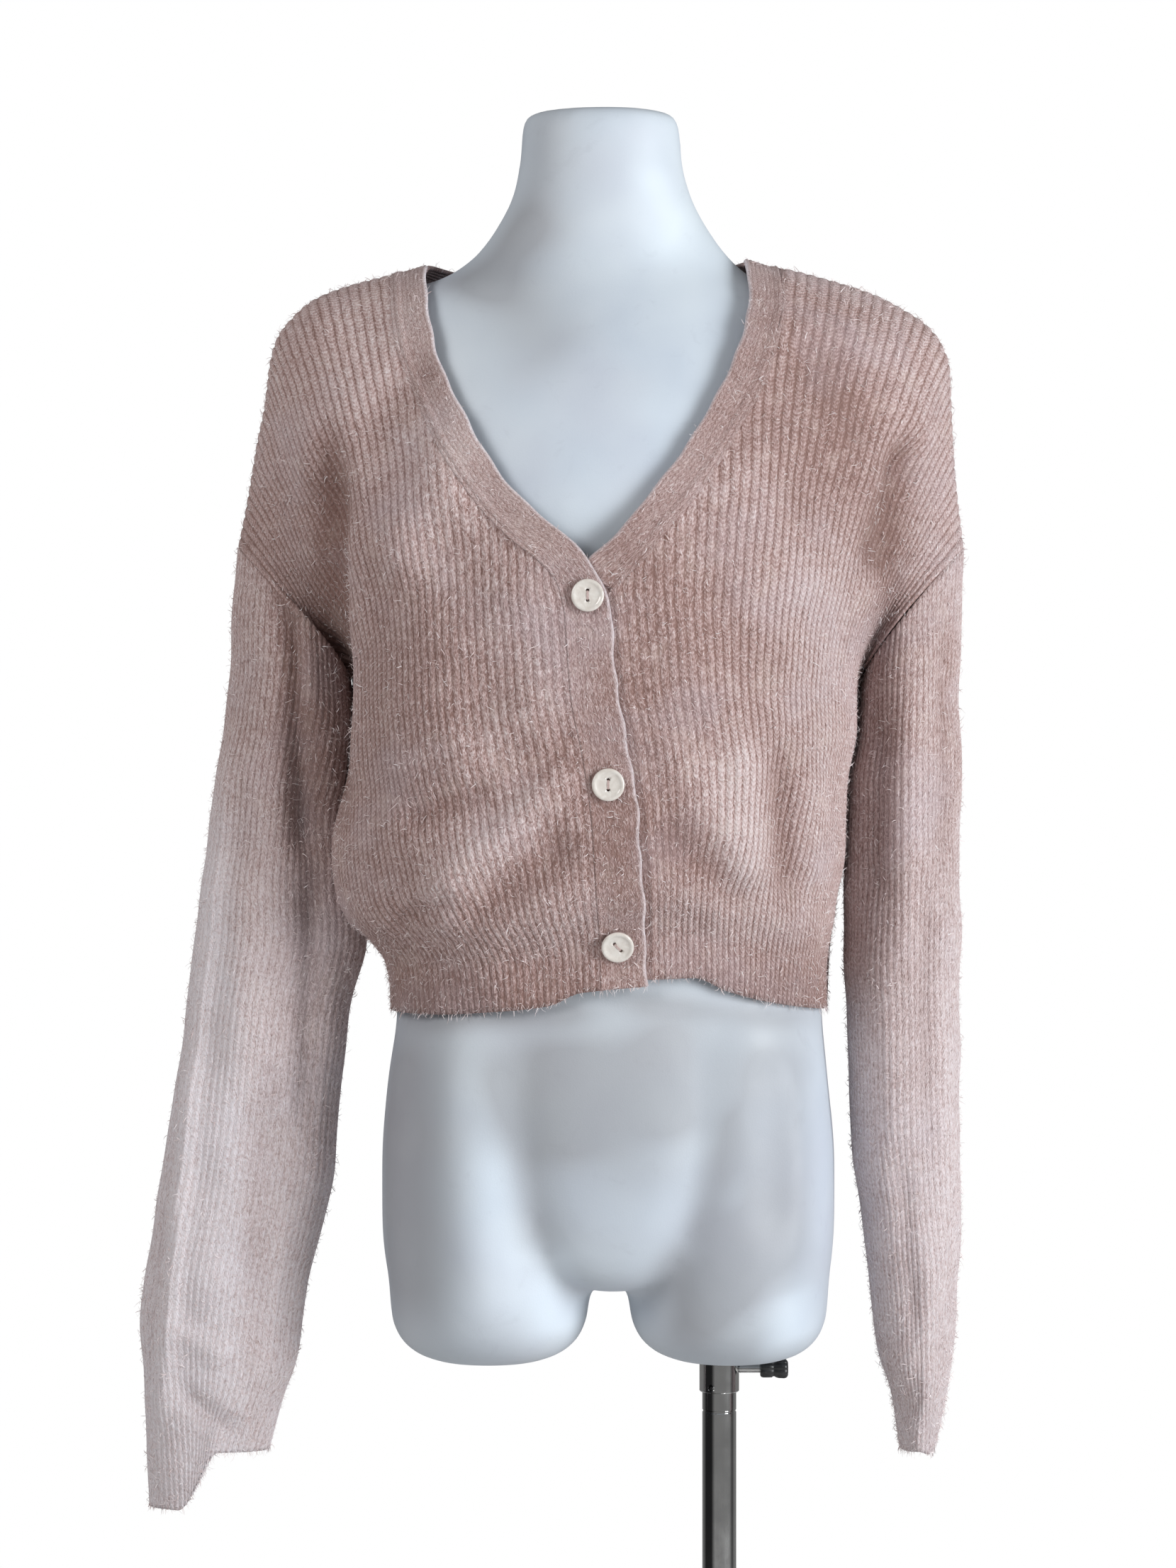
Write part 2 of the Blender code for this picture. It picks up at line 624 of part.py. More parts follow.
def band_points(side, rows, shares):
    """The outer face of a front's band, from its free edge to its seam."""
    columns = []
    for share in shares:
        x, z = edge_curve(side, rows, share)
        y = depth_at(side, x, z)
        if side < 0:
            y = y + LAP * (1 - ramp(LAP_TOP_Z, LAP_TOP_Z + 0.05, z))
        columns.append(np.stack([x, -y - SEAM_GAP / 2, z + lift(side, x, z)], axis=1))
    return np.stack(columns)


def band(side):
    """The band that is knitted along one front and half of the neck."""
    shares = np.linspace(0, 1 - BAND_GAP / NECK_BAND_WIDTH, 5)
    points = band_points(side, BAND_ROWS, shares)
    outward = normals(points, False) * side
    raised = np.array([BAND_RIB, 0.0, BAND_RIB, 0.0, BAND_RIB])[:, None, None]
    outer = points + outward * raised
    inner = (points - outward * BAND_WALL)[:: len(shares) - 1]
    for grid in (outer, inner):
        grid[..., 1] = np.minimum(grid[..., 1], -SEAM_GAP / 2)
    return knit_wall(f"band_{NAME_OF[side]}", outer, inner, False, YARN)


def neck_band(back_face, back_outward):
    """The band across the back of the neck, from shoulder to shoulder, beside the back's own top edge."""
    on_neck = np.flatnonzero(back_face[:, -1, 1] > SEAM_GAP)
    stretch = slice(on_neck[0] - 1, on_neck[-1] + 2)
    edge, edge_out = back_face[stretch, -1], back_outward[stretch, -1]
    into_neck = np.cross(edge_out, np.gradient(edge, axis=0))
    into_neck /= np.linalg.norm(into_neck, axis=1, keepdims=True)
    into_neck *= np.sign(into_neck[len(edge) // 2, 2]) * NECK_SEAM_GAP
    seam = edge + into_neck

    share = path_length(seam[:, 0], seam[:, 1])
    share = share / share[-1]
    arch = np.sin(math.pi * share)
    inner_right, inner_left = FRONT_EDGE[-1]["x"][-1], FRONT_EDGE[1]["x"][-1]
    across_neck = (seam[:, 0] - seam[0, 0]) / (seam[-1, 0] - seam[0, 0])
    inner_x = inner_right + (inner_left - inner_right) * across_neck
    columns = []
    for across in (0.0, 0.5, 1.0):
        x = seam[:, 0] + across * (inner_x - seam[:, 0])
        y = seam[:, 1] - across * NECK_BAND_LEAN * arch
        z = seam[:, 2] + across * (NECK_BAND_END_RISE + NECK_BAND_RISE * arch**0.7)
        columns.append(np.stack([x, y, z], axis=1))
    points = np.stack(columns)
    outward = normals(points, False)
    outward *= np.sign(outward[1, len(seam) // 2, 1])
    outer = points + outward * np.array([0.0, BAND_RIB, 0.0])[:, None, None]
    inner = (points - outward * BAND_WALL)[::2]
    inner[0] = seam - edge_out * BAND_WALL
    for grid in (outer, inner):
        grid[..., 1] = np.maximum(grid[..., 1], SEAM_GAP / 2)
    return knit_wall("band_neck", outer, inner, False, YARN)


BUTTONS = table("x z turn", (-0.0130, 1.0510, 0), (0.0007, 0.9250, 0), (0.0071, 0.8010, 42))


def combine(body, bm, name, operation):
    """A Boolean that joins a helper shape to the body, or takes it out."""
    bmesh.ops.recalc_face_normals(bm, faces=bm.faces)
    mesh = bpy.data.meshes.new(name)
    bm.to_mesh(mesh)
    bm.free()
    helper = bpy.data.objects.new(name, mesh)
    helper.hide_render = True
    helper.display_type = "WIRE"
    HELPERS.objects.link(helper)
    modifier = body.modifiers.new(name, "BOOLEAN")
    modifier.operation = operation
    modifier.solver = "EXACT"
    modifier.object = helper


def rod(bm, radius, length, segments, place):
    """A round rod, centred on its place, added to a mesh."""
    bmesh.ops.create_cone(
        bm, cap_ends=True, segments=segments, radius1=radius, radius2=radius, depth=length, matrix=place
    )


def turned(name, profile, finish, segments, closed=False):
    """A turned piece about its own Z axis, from a profile of radius and height, read from the top down."""
    mesh = bpy.data.meshes.new(name)
    last = [(len(profile) - 1, 0)] if closed else []
    edges = [(i, i + 1) for i in range(len(profile) - 1)] + last
    mesh.from_pydata([(radius, 0, height) for radius, height in profile], edges, [])
    mesh.materials.append(finish)
    obj = bpy.data.objects.new(name, mesh)
    PARTS.objects.link(obj)
    screw = obj.modifiers.new("turn", "SCREW")
    screw.steps = screw.render_steps = segments
    screw.use_merge_vertices = True
    screw.merge_threshold = 1e-5
    screw.use_smooth_shade = False
    return obj


def button(number, x, z, turn):
    """A two-hole button, seated on the right front's band and square to it."""
    turn_round = np.linspace(0, math.tau, 17)
    x_at = x + BUTTON_RADIUS * np.cos(turn_round)
    z_at = z + BUTTON_RADIUS * np.sin(turn_round)
    y_at = -depth_at(-1, x_at, z_at) - LAP * (1 - ramp(LAP_TOP_Z, LAP_TOP_Z + 0.05, z_at)) - SEAM_GAP / 2
    z_at = z_at + lift(-1, x_at, z_at)
    rim_points = [Vector(point) for point in zip(x_at, y_at, z_at)]
    across = rim_points[0] - rim_points[8]
    up = rim_points[4] - rim_points[12]
    out = across.cross(up).normalized()
    middle = sum(rim_points[:16], Vector()) / 16
    proud = max((point - middle).dot(out) for point in rim_points)
    centre_y = float(-depth_at(-1, np.array([x]), np.array([z]))[0]) - LAP
    proud = max(proud, (Vector((middle.x, centre_y, middle.z)) - middle).dot(out))
    seat = middle + out * (proud + BAND_RIB + BUTTON_SEAT)
    obj = turned(f"button_{number}", BUTTON_PROFILE, SHELL, 16)
    obj.location = seat
    obj.rotation_mode = "QUATERNION"
    obj.rotation_quaternion = out.to_track_quat("Z", "Y") @ Quaternion((0, 0, 1), math.radians(turn))
    place = Matrix.LocRotScale(seat, obj.rotation_quaternion, None)
    holes = bmesh.new()
    for end in (-1, 1):
        middle = Matrix.Translation((0, end * BUTTON_HOLE_SPACING / 2, BUTTON_THICKNESS / 2))
        rod(holes, BUTTON_HOLE_RADIUS, 3 * BUTTON_THICKNESS, 8, place @ middle)
    combine(obj, holes, f"button_{number}_holes", "DIFFERENCE")


def ring_loft(sections, segments, centre=(0.0, 0.0)):
    """A closed skin through level sections, each given as height, the four half widths and the power."""
    bm = bmesh.new()
    rings = []
    for z, right, left, front_depth, back_depth, power in sections:
        ring = []
        for i in range(segments):
            angle = math.tau * i / segments
            c, s = math.cos(angle), math.sin(angle)
            x = math.copysign(abs(c) ** (2 / power), c) * (left if c > 0 else right)
            y = math.copysign(abs(s) ** (2 / power), s) * (back_depth if s > 0 else front_depth)
            ring.append(bm.verts.new((centre[0] + x, centre[1] + y, z)))
        rings.append(ring)
    for low, high in zip(rings, rings[1:]):
        for i in range(segments):
            j = (i + 1) % segments
            bm.faces.new((low[i], low[j], high[j], high[i]))
    bm.faces.new(rings[0])
    bm.faces.new(rings[-1])
    return bm


def dress_form():
    """The form: a torso, two short thigh stubs joined to it, and the bore that takes the pole."""
    obj = make_object("dress_form", ring_loft(zip(*FORM.values()), 28), FORM_SKIN)
    for side in (-1, 1):
        rows = [(z, half, half, front, back, STUB_POWER) for z, half, front, back in zip(*STUB.values())]
        combine(obj, ring_loft(rows, 20, (STUB_X[side], 0.0)), f"stub_{NAME_OF[side]}", "UNION")
    bore = bmesh.new()
    depth = BORE_TOP_Z - FORM_BOTTOM_Z + 0.02
    rod(bore, BORE_RADIUS, depth, 24, Matrix.Translation((POLE_X, POLE_Y, BORE_TOP_Z - depth / 2)))
    combine(obj, bore, "pole_bore", "DIFFERENCE")


def stand():
    """The base plate, the pole screwed into it, and the collar under the form with its screw's hole."""
    edge = BASE_THICKNESS - BASE_BEVEL
    rim = [(BASE_RADIUS - BASE_BEVEL, BASE_THICKNESS), (BASE_RADIUS, edge), (BASE_RADIUS, 0.0)]
    turned("base_plate", [(0.0, BASE_THICKNESS), *rim, (0.0, 0.0)], STEEL, 48)

    pole = bmesh.new()
    foot = BASE_THICKNESS + SEAM_GAP
    length = POLE_TOP_Z - foot
    rod(pole, POLE_RADIUS, length, 24, Matrix.Translation((POLE_X, POLE_Y, foot + length / 2)))
    make_object("pole", pole, STEEL)

    outside = [(COLLAR_RADIUS, COLLAR_LENGTH), (COLLAR_RADIUS, 0.0)]
    bore = [(COLLAR_BORE_RADIUS, 0.0), (COLLAR_BORE_RADIUS, COLLAR_LENGTH)]
    collar = turned("collar", outside + bore, STEEL, 28, closed=True)
    collar.location = (POLE_X, POLE_Y, FORM_BOTTOM_Z - SEAM_GAP - COLLAR_LENGTH)
    hole = bmesh.new()
    start = POLE_X + COLLAR_BORE_RADIUS - 0.003
    end = POLE_X + COLLAR_RADIUS + 0.004
    sideways = Matrix.Rotation(math.pi / 2, 4, "Y")
    middle = Matrix.Translation(((start + end) / 2, POLE_Y, SCREW_Z))
    rod(hole, SCREW_HOLE_RADIUS, end - start, 12, middle @ sideways)
    combine(collar, hole, "screw_hole", "DIFFERENCE")


def clamp_screw():
    """The screw that grips the pole, with its waisted knob. Its own axis is the hinge's."""
    shank = KNOB_START_X - (POLE_X + POLE_RADIUS + SEAM_GAP)
    knob = [(radius, KNOB_LENGTH * along) for radius, along in zip(KNOB["radius"], KNOB["along"])]
    profile = [(0.0, KNOB_LENGTH)] + knob[::-1] + [(SCREW_RADIUS, 0.0), (SCREW_RADIUS, -shank), (0.0, -shank)]
    screw = turned("clamp_screw", profile, KNOB_PLASTIC, 20)
    screw.location = (KNOB_START_X, POLE_Y, SCREW_Z)
    screw.rotation_euler = (0, math.pi / 2, 0)


for old in list(bpy.data.objects):
    bpy.data.objects.remove(old, do_unlink=True)
PARTS = bpy.data.collections.new("cardigan_on_form")
HELPERS = bpy.data.collections.new("helpers")
bpy.context.scene.collection.children.link(PARTS)
bpy.context.scene.collection.children.link(HELPERS)
NAME_OF = {-1: "right", 1: "left"}
YARN = material("brushed_pink_yarn", (0.62, 0.47, 0.44), 0.95)
SHELL = material("button_shell", (0.86, 0.82, 0.78), 0.25)
FORM_SKIN = material("white_form", (0.85, 0.86, 0.90), 0.35)
STEEL = material("chromed_steel", (0.75, 0.76, 0.78), 0.15, 1.0)
KNOB_PLASTIC = material("black_plastic", (0.02, 0.02, 0.022), 0.35)

for wearer_side in (-1, 1):
    front(wearer_side)
    sleeve(wearer_side)
    band(wearer_side)
back()
for count, (button_x, button_z, button_turn) in enumerate(zip(*BUTTONS.values()), 1):
    button(count, button_x, button_z, button_turn)
dress_form()
stand()
clamp_screw()
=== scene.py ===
"""The looks of a cropped rib-knit cardigan on a limbless dress form, which stands on a sliding pole.

Metres, +Z up. The front faces -Y, and left and right are the wearer's, so the right front lies at -X.
The origin is on the floor, under the middle of the base plate. Every piece is made in place.
"""

import math

import bmesh
import bpy
import numpy as np
from mathutils import Matrix, Quaternion, Vector


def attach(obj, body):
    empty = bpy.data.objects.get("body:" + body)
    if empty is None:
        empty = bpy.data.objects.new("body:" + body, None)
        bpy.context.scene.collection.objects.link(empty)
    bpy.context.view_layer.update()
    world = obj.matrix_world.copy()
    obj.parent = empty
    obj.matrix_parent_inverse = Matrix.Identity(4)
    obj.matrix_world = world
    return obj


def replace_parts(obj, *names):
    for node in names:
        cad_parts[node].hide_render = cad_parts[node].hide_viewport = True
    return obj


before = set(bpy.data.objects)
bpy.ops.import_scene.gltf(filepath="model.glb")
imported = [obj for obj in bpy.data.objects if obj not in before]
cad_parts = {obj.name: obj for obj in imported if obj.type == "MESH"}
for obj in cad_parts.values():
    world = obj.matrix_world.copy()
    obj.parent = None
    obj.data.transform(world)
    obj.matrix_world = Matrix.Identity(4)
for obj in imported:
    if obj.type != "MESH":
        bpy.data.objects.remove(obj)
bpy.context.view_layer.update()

# THE TWO FRONTS
# Each front is one panel of 1x1 rib, knitted from the hem up in a brushed angora-like yarn.
# It hangs from the shoulder seam, blouses over a snug hem and runs on over the dropped shoulder.

SIDES = {-1: "right", 1: "left"}
SEAM_GAP = 0.0003
WALL = 0.0018
HEM_Z = 0.768
UNDERARM_Z = 1.000
CENTRE_RISE = 0.062
HEM_RIB_LENGTH = 0.045
BAND_WIDTH = 0.030
NECK_BAND_WIDTH = 0.024
LAP = 0.0048
UNDER_BAND = 0.0012
LAP_TOP_Z = 1.068
ARM_DEPTH = 0.054
SECTION_POWER = 2.5
BACK_ROUNDING = 4.0
COURSE = 0.0032
RIB_RISE = 0.0008
FRONT_RIBS = 48
COLUMNS_PER_RIB = 4
RIB_SAMPLES = 320
HALVINGS = 34
CHEST_HALF_WIDTH = 0.185
CHEST_DEPTH = 0.138
BAND_NARROWS_Z = (1.03, 1.10)
HEM_ROW_SHARE = 12
FOLD_END_START = 0.3
FOLD_END_LENGTH = 0.16


def table(columns, *rows):
    """Rows of numbers as named columns."""
    names = columns.split()
    return {name: np.array([row[i] for row in rows], float) for i, name in enumerate(names)}


def smooth(keys, values, at):
    """The value at each place on a smooth curve through the rows, which never overshoots them."""
    at = np.clip(np.asarray(at, float), keys[0], keys[-1])
    step = np.diff(keys)
    slope = np.diff(values) / step
    tangent = np.empty(len(keys))
    tangent[0] = slope[0]
    tangent[-1] = slope[-1]
    same_way = slope[:-1] * slope[1:] > 0
    both = np.where(same_way, slope[:-1] + slope[1:], 1.0)
    tangent[1:-1] = np.where(same_way, 2 * slope[:-1] * slope[1:] / both, 0.0)
    i = np.clip(np.searchsorted(keys, at, side="right") - 1, 0, len(keys) - 2)
    t = (at - keys[i]) / step[i]
    start = (1 + 2 * t) * (1 - t) ** 2 * values[i] + t * (1 - t) ** 2 * step[i] * tangent[i]
    end = t * t * (3 - 2 * t) * values[i + 1] + t * t * (t - 1) * step[i] * tangent[i + 1]
    return start + end


def ramp(low, high, at):
    """0 below low, 1 above high, and an even S between."""
    t = np.clip((at - low) / (high - low), 0, 1)
    return t * t * (3 - 2 * t)


# The knitted tube round the body, at its outside face: half widths at each side, and the depth in front
# and behind.
BODY = table(
    "z right left front back",
    (0.768, 0.1500, 0.1550, 0.1050, 0.1150),
    (0.800, 0.1540, 0.1565, 0.1080, 0.1180),
    (0.815, 0.1640, 0.1575, 0.1160, 0.1220),
    (0.832, 0.1820, 0.1600, 0.1270, 0.1280),
    (0.850, 0.1890, 0.1620, 0.1330, 0.1310),
    (0.882, 0.1920, 0.1660, 0.1370, 0.1310),
    (0.925, 0.1910, 0.1700, 0.1380, 0.1260),
    (0.975, 0.1890, 0.1750, 0.1390, 0.1200),
    (1.020, 0.1890, 0.1800, 0.1400, 0.1160),
    (1.110, 0.1900, 0.1860, 0.1370, 0.1140),
)
# The height of the hem's edge over HEM_Z, across the two fronts.
HEM_LIFT = {
    -1: table(
        "x lift",
        (-0.150, 0.0), (-0.118, 0.0), (-0.073, 0.003), (-0.040, 0.007), (-0.018, 0.016), (0.030, 0.021),
    ),
    1: table(
        "x lift",
        (-0.010, 0.024), (0.031, 0.025), (0.059, 0.026), (0.081, 0.017), (0.109, 0.009), (0.153, 0.001),
    ),
}
HEM_LIFT_FADE_Z = 0.900
# The free edge of each front, from the hem up to the shoulder at the neck.
FRONT_EDGE = {
    -1: table(
        "x z",
        (0.0275, 0.768), (0.0265, 0.807), (0.0245, 0.844), (0.0210, 0.905), (0.0140, 0.953), (0.0074, 0.985),
        (0.0045, 1.022), (0.0028, 1.040), (-0.0015, 1.055), (-0.0070, 1.068), (-0.0145, 1.079),
        (-0.0290, 1.0935), (-0.0480, 1.1085), (-0.0650, 1.126), (-0.0775, 1.1435), (-0.0910, 1.1655),
        (-0.1045, 1.193), (-0.1135, 1.2135), (-0.1200, 1.2345), (-0.1235, 1.2595), (-0.1260, 1.290),
    ),
    1: table(
        "x z",
        (0.0010, 0.768), (-0.0005, 0.844), (-0.0045, 0.905), (-0.0110, 0.953), (-0.0180, 0.985),
        (-0.0220, 1.022), (-0.0235, 1.050), (-0.0200, 1.068), (-0.0115, 1.0775), (0.0075, 1.0945),
        (0.0205, 1.1115), (0.0355, 1.129), (0.0530, 1.153), (0.0655, 1.175), (0.0790, 1.198),
        (0.0880, 1.219), (0.0945, 1.242), (0.0985, 1.259), (0.0990, 1.278), (0.0960, 1.2945),
    ),
}
# The outline over the shoulder and down the dropped sleeve head, from the neck band out.
SHOULDER = {
    -1: table(
        "x z",
        (-0.031, 1.296), (-0.100, 1.296), (-0.150, 1.284), (-0.184, 1.2755), (-0.2065, 1.2655),
        (-0.220, 1.2545), (-0.231, 1.2405), (-0.2365, 1.2215), (-0.2405, 1.191), (-0.245, 1.169),
        (-0.2535, 1.119), (-0.259, 1.0915),
    ),
    1: table(
        "x z",
        (0.003, 1.299), (0.075, 1.299), (0.120, 1.2885), (0.1585, 1.2795), (0.1865, 1.271), (0.2085, 1.260),
        (0.225, 1.249), (0.236, 1.235), (0.2415, 1.2185), (0.243, 1.191), (0.2455, 1.1465), (0.2515, 1.0915),
    ),
}
# How the ribs share out the girth at the chest: more of them lie in the pocket under the arm.
RIB_SHARE = table("rib girth", (-0.5, -0.60), (0.0, 0.0), (0.354, 0.42), (0.69, 0.72), (1.0, 1.0))


def strokes(*rows):
    """Soft strokes over the front view, each a line with its width and its height at its middle."""
    return table("x0 z0 x1 z1 width height", *rows)


# The folds stand out of the cloth by their height, which is below nought for a trough.
FRONT_FOLDS = strokes(
    (-0.190, 1.170, -0.187, 0.900, 0.012, -0.015),
    (-0.172, 1.130, -0.178, 0.900, 0.010, 0.004),
    (0.212, 1.166, 0.180, 1.070, 0.012, -0.014),
    (0.198, 1.150, 0.176, 1.040, 0.009, 0.003),
    (-0.030, 0.930, -0.128, 0.842, 0.015, 0.007),
    (-0.020, 0.890, -0.105, 0.826, 0.013, -0.0055),
    (-0.075, 0.925, -0.140, 0.900, 0.010, -0.005),
    (-0.090, 0.960, -0.150, 0.935, 0.012, 0.003),
    (-0.030, 1.000, -0.110, 0.925, 0.014, 0.003),
    (-0.020, 0.960, -0.090, 0.890, 0.010, -0.003),
    (-0.100, 0.850, -0.150, 0.828, 0.009, -0.004),
    (0.030, 0.900, 0.100, 0.838, 0.014, -0.006),
    (0.035, 0.960, 0.085, 0.880, 0.014, 0.004),
    (0.118, 0.955, 0.124, 0.842, 0.010, -0.006),
    (0.138, 0.940, 0.140, 0.850, 0.010, 0.004),
    (0.090, 0.960, 0.092, 0.850, 0.014, 0.006),
    (-0.090, 1.180, -0.150, 1.060, 0.022, 0.005),
    (-0.120, 1.220, -0.170, 1.150, 0.016, -0.004),
    (0.080, 1.150, 0.140, 1.040, 0.022, 0.005),
    (0.130, 1.230, 0.185, 1.160, 0.016, -0.004),
    (0.060, 1.060, 0.110, 0.990, 0.018, -0.002),
)
# Painted shade where the yarn should look darker than its folds alone make it, and painted light where the
# height is below nought.
YARN_SHADE_STROKES = strokes(
    (0.015, 1.110, 0.020, 0.840, 0.064, 0.55),
    (-0.102, 1.070, -0.112, 0.910, 0.030, 0.28),
    (0.160, 1.270, 0.166, 1.110, 0.028, 0.35),
    (0.196, 1.120, 0.188, 0.990, 0.014, 0.55),
    (0.080, 0.960, 0.092, 0.820, 0.024, -0.45),
    (0.095, 1.290, 0.130, 1.060, 0.055, 0.40),
    (-0.150, 1.270, -0.168, 1.130, 0.028, -0.35),
    (0.150, 1.120, 0.150, 0.900, 0.020, -0.20),
)
# Broad unevenness that a soft knit never lacks, as waves across and up the cloth.
UNEVEN = table(
    "per_x per_z phase rise",
    (71, 23, 0.4, 0.0007), (-37, 58, 2.1, 0.0008), (19, -91, 4.0, 0.0005), (113, 44, 1.2, 0.0004),
    (-88, -67, 5.3, 0.0004), (31, 137, 3.1, 0.0003),
)


def reference_section():
    """Across, forward and share of the girth along a quarter of a body section with half widths of 1."""
    angle = np.linspace(0, math.pi / 2, 2001)
    across = np.sin(angle) ** (2 / SECTION_POWER)
    forward = np.cos(angle) ** (2 / SECTION_POWER)
    forward[-1] = 0
    length = np.hypot(np.diff(across) * CHEST_HALF_WIDTH, np.diff(forward) * CHEST_DEPTH)
    share = np.concatenate([[0], np.cumsum(length)])
    return across, forward, share / share[-1]


ACROSS, FORWARD, SHARE = reference_section()


def path_length(x, z):
    """How far along it each point of a flat line lies."""
    return np.concatenate([[0], np.cumsum(np.hypot(np.diff(x), np.diff(z)))])


def line_length(points):
    """How far along it each point of a line in space lies, for one line or every column of a grid."""
    step = np.linalg.norm(np.diff(points, axis=-2), axis=-1)
    return np.concatenate([np.zeros((*step.shape[:-1], 1)), np.cumsum(step, axis=-1)], axis=-1)


def read_line(line, length, at):
    """A line's points at some places along it."""
    return np.stack([np.interp(at, length, line[:, axis]) for axis in range(line.shape[1])], axis=-1)


def unit(vectors):
    """The same directions at a length of 1."""
    return vectors / np.maximum(np.linalg.norm(vectors, axis=-1, keepdims=True), 1e-12)


def halved(low, high, beyond):
    """The place between two bounds from which a test is true, found by halving."""
    for _ in range(HALVINGS):
        middle = (low + high) / 2
        past = beyond(middle)
        high = np.where(past, middle, high)
        low = np.where(past, low, middle)
    return low


def width_at(z):
    """A band's width: that of the button band below the neckline, and of the neck band above it."""
    return BAND_WIDTH + (NECK_BAND_WIDTH - BAND_WIDTH) * ramp(*BAND_NARROWS_Z, z)


def edge_curve(side, count, inset):
    """Points along a front's free edge, moved into the front by a share of the band's width."""
    edge = FRONT_EDGE[side]
    length = path_length(edge["x"], edge["z"])
    at = np.linspace(0, length[-1], count)
    x = smooth(length, edge["x"], at)
    z = smooth(length, edge["z"], at)
    tangent_x = np.gradient(x, at)
    tangent_z = np.gradient(z, at)
    tangent_x[0] = 0
    tangent_z[0] = 1
    scale = np.hypot(tangent_x, tangent_z)
    reach = inset * width_at(z)
    return x + side * reach * tangent_z / scale, z - side * reach * tangent_x / scale


def seam_x(side, z):
    """Where the panel of a front starts: outside its band."""
    x, height = edge_curve(side, 600, 1.0)
    rising = np.maximum.accumulate(height)
    return side * np.interp(z, rising, side * x)


def girth_share(side, u, z):
    """The share of the quarter girth at which a rib lies. It is 0 at the middle and 1 at the side seam."""
    half = smooth(BODY["z"], BODY["right" if side < 0 else "left"], z)
    start = np.interp(side * seam_x(side, np.minimum(z, UNDERARM_Z + CENTRE_RISE)) / half, ACROSS, SHARE)
    spread = smooth(RIB_SHARE["rib"], RIB_SHARE["girth"], u)
    even = ramp(0.80, 0.96, z)
    return start + (1 - start) * (u + (spread - u) * even)


def back_share(u, z):
    spread = smooth(RIB_SHARE["rib"], RIB_SHARE["girth"], u)
    return u + (spread - u) * ramp(0.80, 0.96, z)


def on_section(side, share, z, depth):
    """A point of the body's section, with the sign of the share kept across the middle."""
    half = smooth(BODY["z"], BODY["right" if side < 0 else "left"], z)
    reach = smooth(BODY["z"], BODY[depth], z)
    across = np.interp(np.abs(share), SHARE, ACROSS) * np.sign(share)
    return side * half * across, reach * np.interp(np.abs(share), SHARE, FORWARD)


def chest_z(u):
    return UNDERARM_Z + CENTRE_RISE * (1 - np.minimum(u, 1)) ** 2


def shoulder_point(side, u):
    line = SHOULDER[side]
    length = path_length(line["x"], line["z"])
    share = length / length[-1]
    x = smooth(share, line["x"], np.maximum(u, 0))
    z = smooth(share, line["z"], np.maximum(u, 0))
    return x + np.where(u < 0, side * u * length[-1], 0), z


def arm_term(u, t):
    """How far the dropped sleeve head stands out, beyond the chest's own rounding."""
    sharpness = 1.3 - 0.8 * np.clip(u, 0, 1) ** 8
    return ARM_DEPTH * np.clip(u, 0, 1) ** 6 * np.sin(math.pi * np.clip(t, 0, 1)) ** sharpness


def body_point(side, u, w, depth):
    """A point of the cloth: w runs from the hem, 0, to the underarm, 1, and the shoulder, 2."""
    u, w = np.broadcast_arrays(np.asarray(u, float), np.asarray(w, float))
    top = chest_z(u)
    low_z = HEM_Z + (top - HEM_Z) * np.minimum(w, 1)
    share = girth_share(side, u, low_z) if depth == "front" else back_share(u, low_z)
    x, y = on_section(side, share, low_z, depth)
    t = np.clip(w - 1, 0, 1)
    end_x, end_z = shoulder_point(side, u)
    if depth == "back":
        middle = (SHOULDER[-1]["x"][0] + SHOULDER[1]["x"][0]) / 2
        end_x = end_x + (middle - SHOULDER[side]["x"][0]) * (1 - ramp(0.0, 0.35, u))
    up_x = x + (end_x - x) * t**1.3
    rounding = 2.0 if depth == "front" else BACK_ROUNDING
    up_y = y * np.sqrt(np.maximum(1 - t**rounding, 0)) + arm_term(u, t)
    up_z = top + (end_z - top) * t
    above = w > 1
    return np.where(above, up_x, x), np.where(above, up_y, y), np.where(above, up_z, low_z)


def body_normal(side, u, w, depth):
    """The direction out of the cloth there, from the way along the ribs and the way across them."""
    step = 0.002

    def point(u, w):
        return np.stack(body_point(side, u, w, depth), axis=-1)

    across = (point(u + step, w) - point(u - step, w)) * side
    up = point(u, np.clip(w + step, 0, 2)) - point(u, np.clip(w - step, 0, 2))
    return unit(np.cross(up, across))


def w_at(side, u, z):
    """The w at which a rib reaches a height."""
    top = chest_z(u)
    end_z = shoulder_point(side, u)[1]
    return np.where(z < top, (z - HEM_Z) / (top - HEM_Z), 1 + np.clip((z - top) / (end_z - top), 0, 1))


def depth_at(side, x, z):
    """How far forward the front's cloth lies at a place in the front view."""

    def outside(u):
        return side * body_point(side, u, w_at(side, u, z), "front")[0] > side * x

    u = halved(np.full(np.shape(x), -0.45), np.full(np.shape(x), 1.0), outside)
    return body_point(side, u, w_at(side, u, z), "front")[1]


def lap(z):
    """How far the right front stands over the left one, which fades out at the neckline."""
    return LAP * (1 - ramp(LAP_TOP_Z, LAP_TOP_Z + 0.05, z))


def lift(side, x, z):
    """The hem's rise at a place across the front, which fades out up the body."""
    row = HEM_LIFT[side]
    return smooth(row["x"], row["lift"], x) * (1 - ramp(HEM_Z, HEM_LIFT_FADE_Z, z))


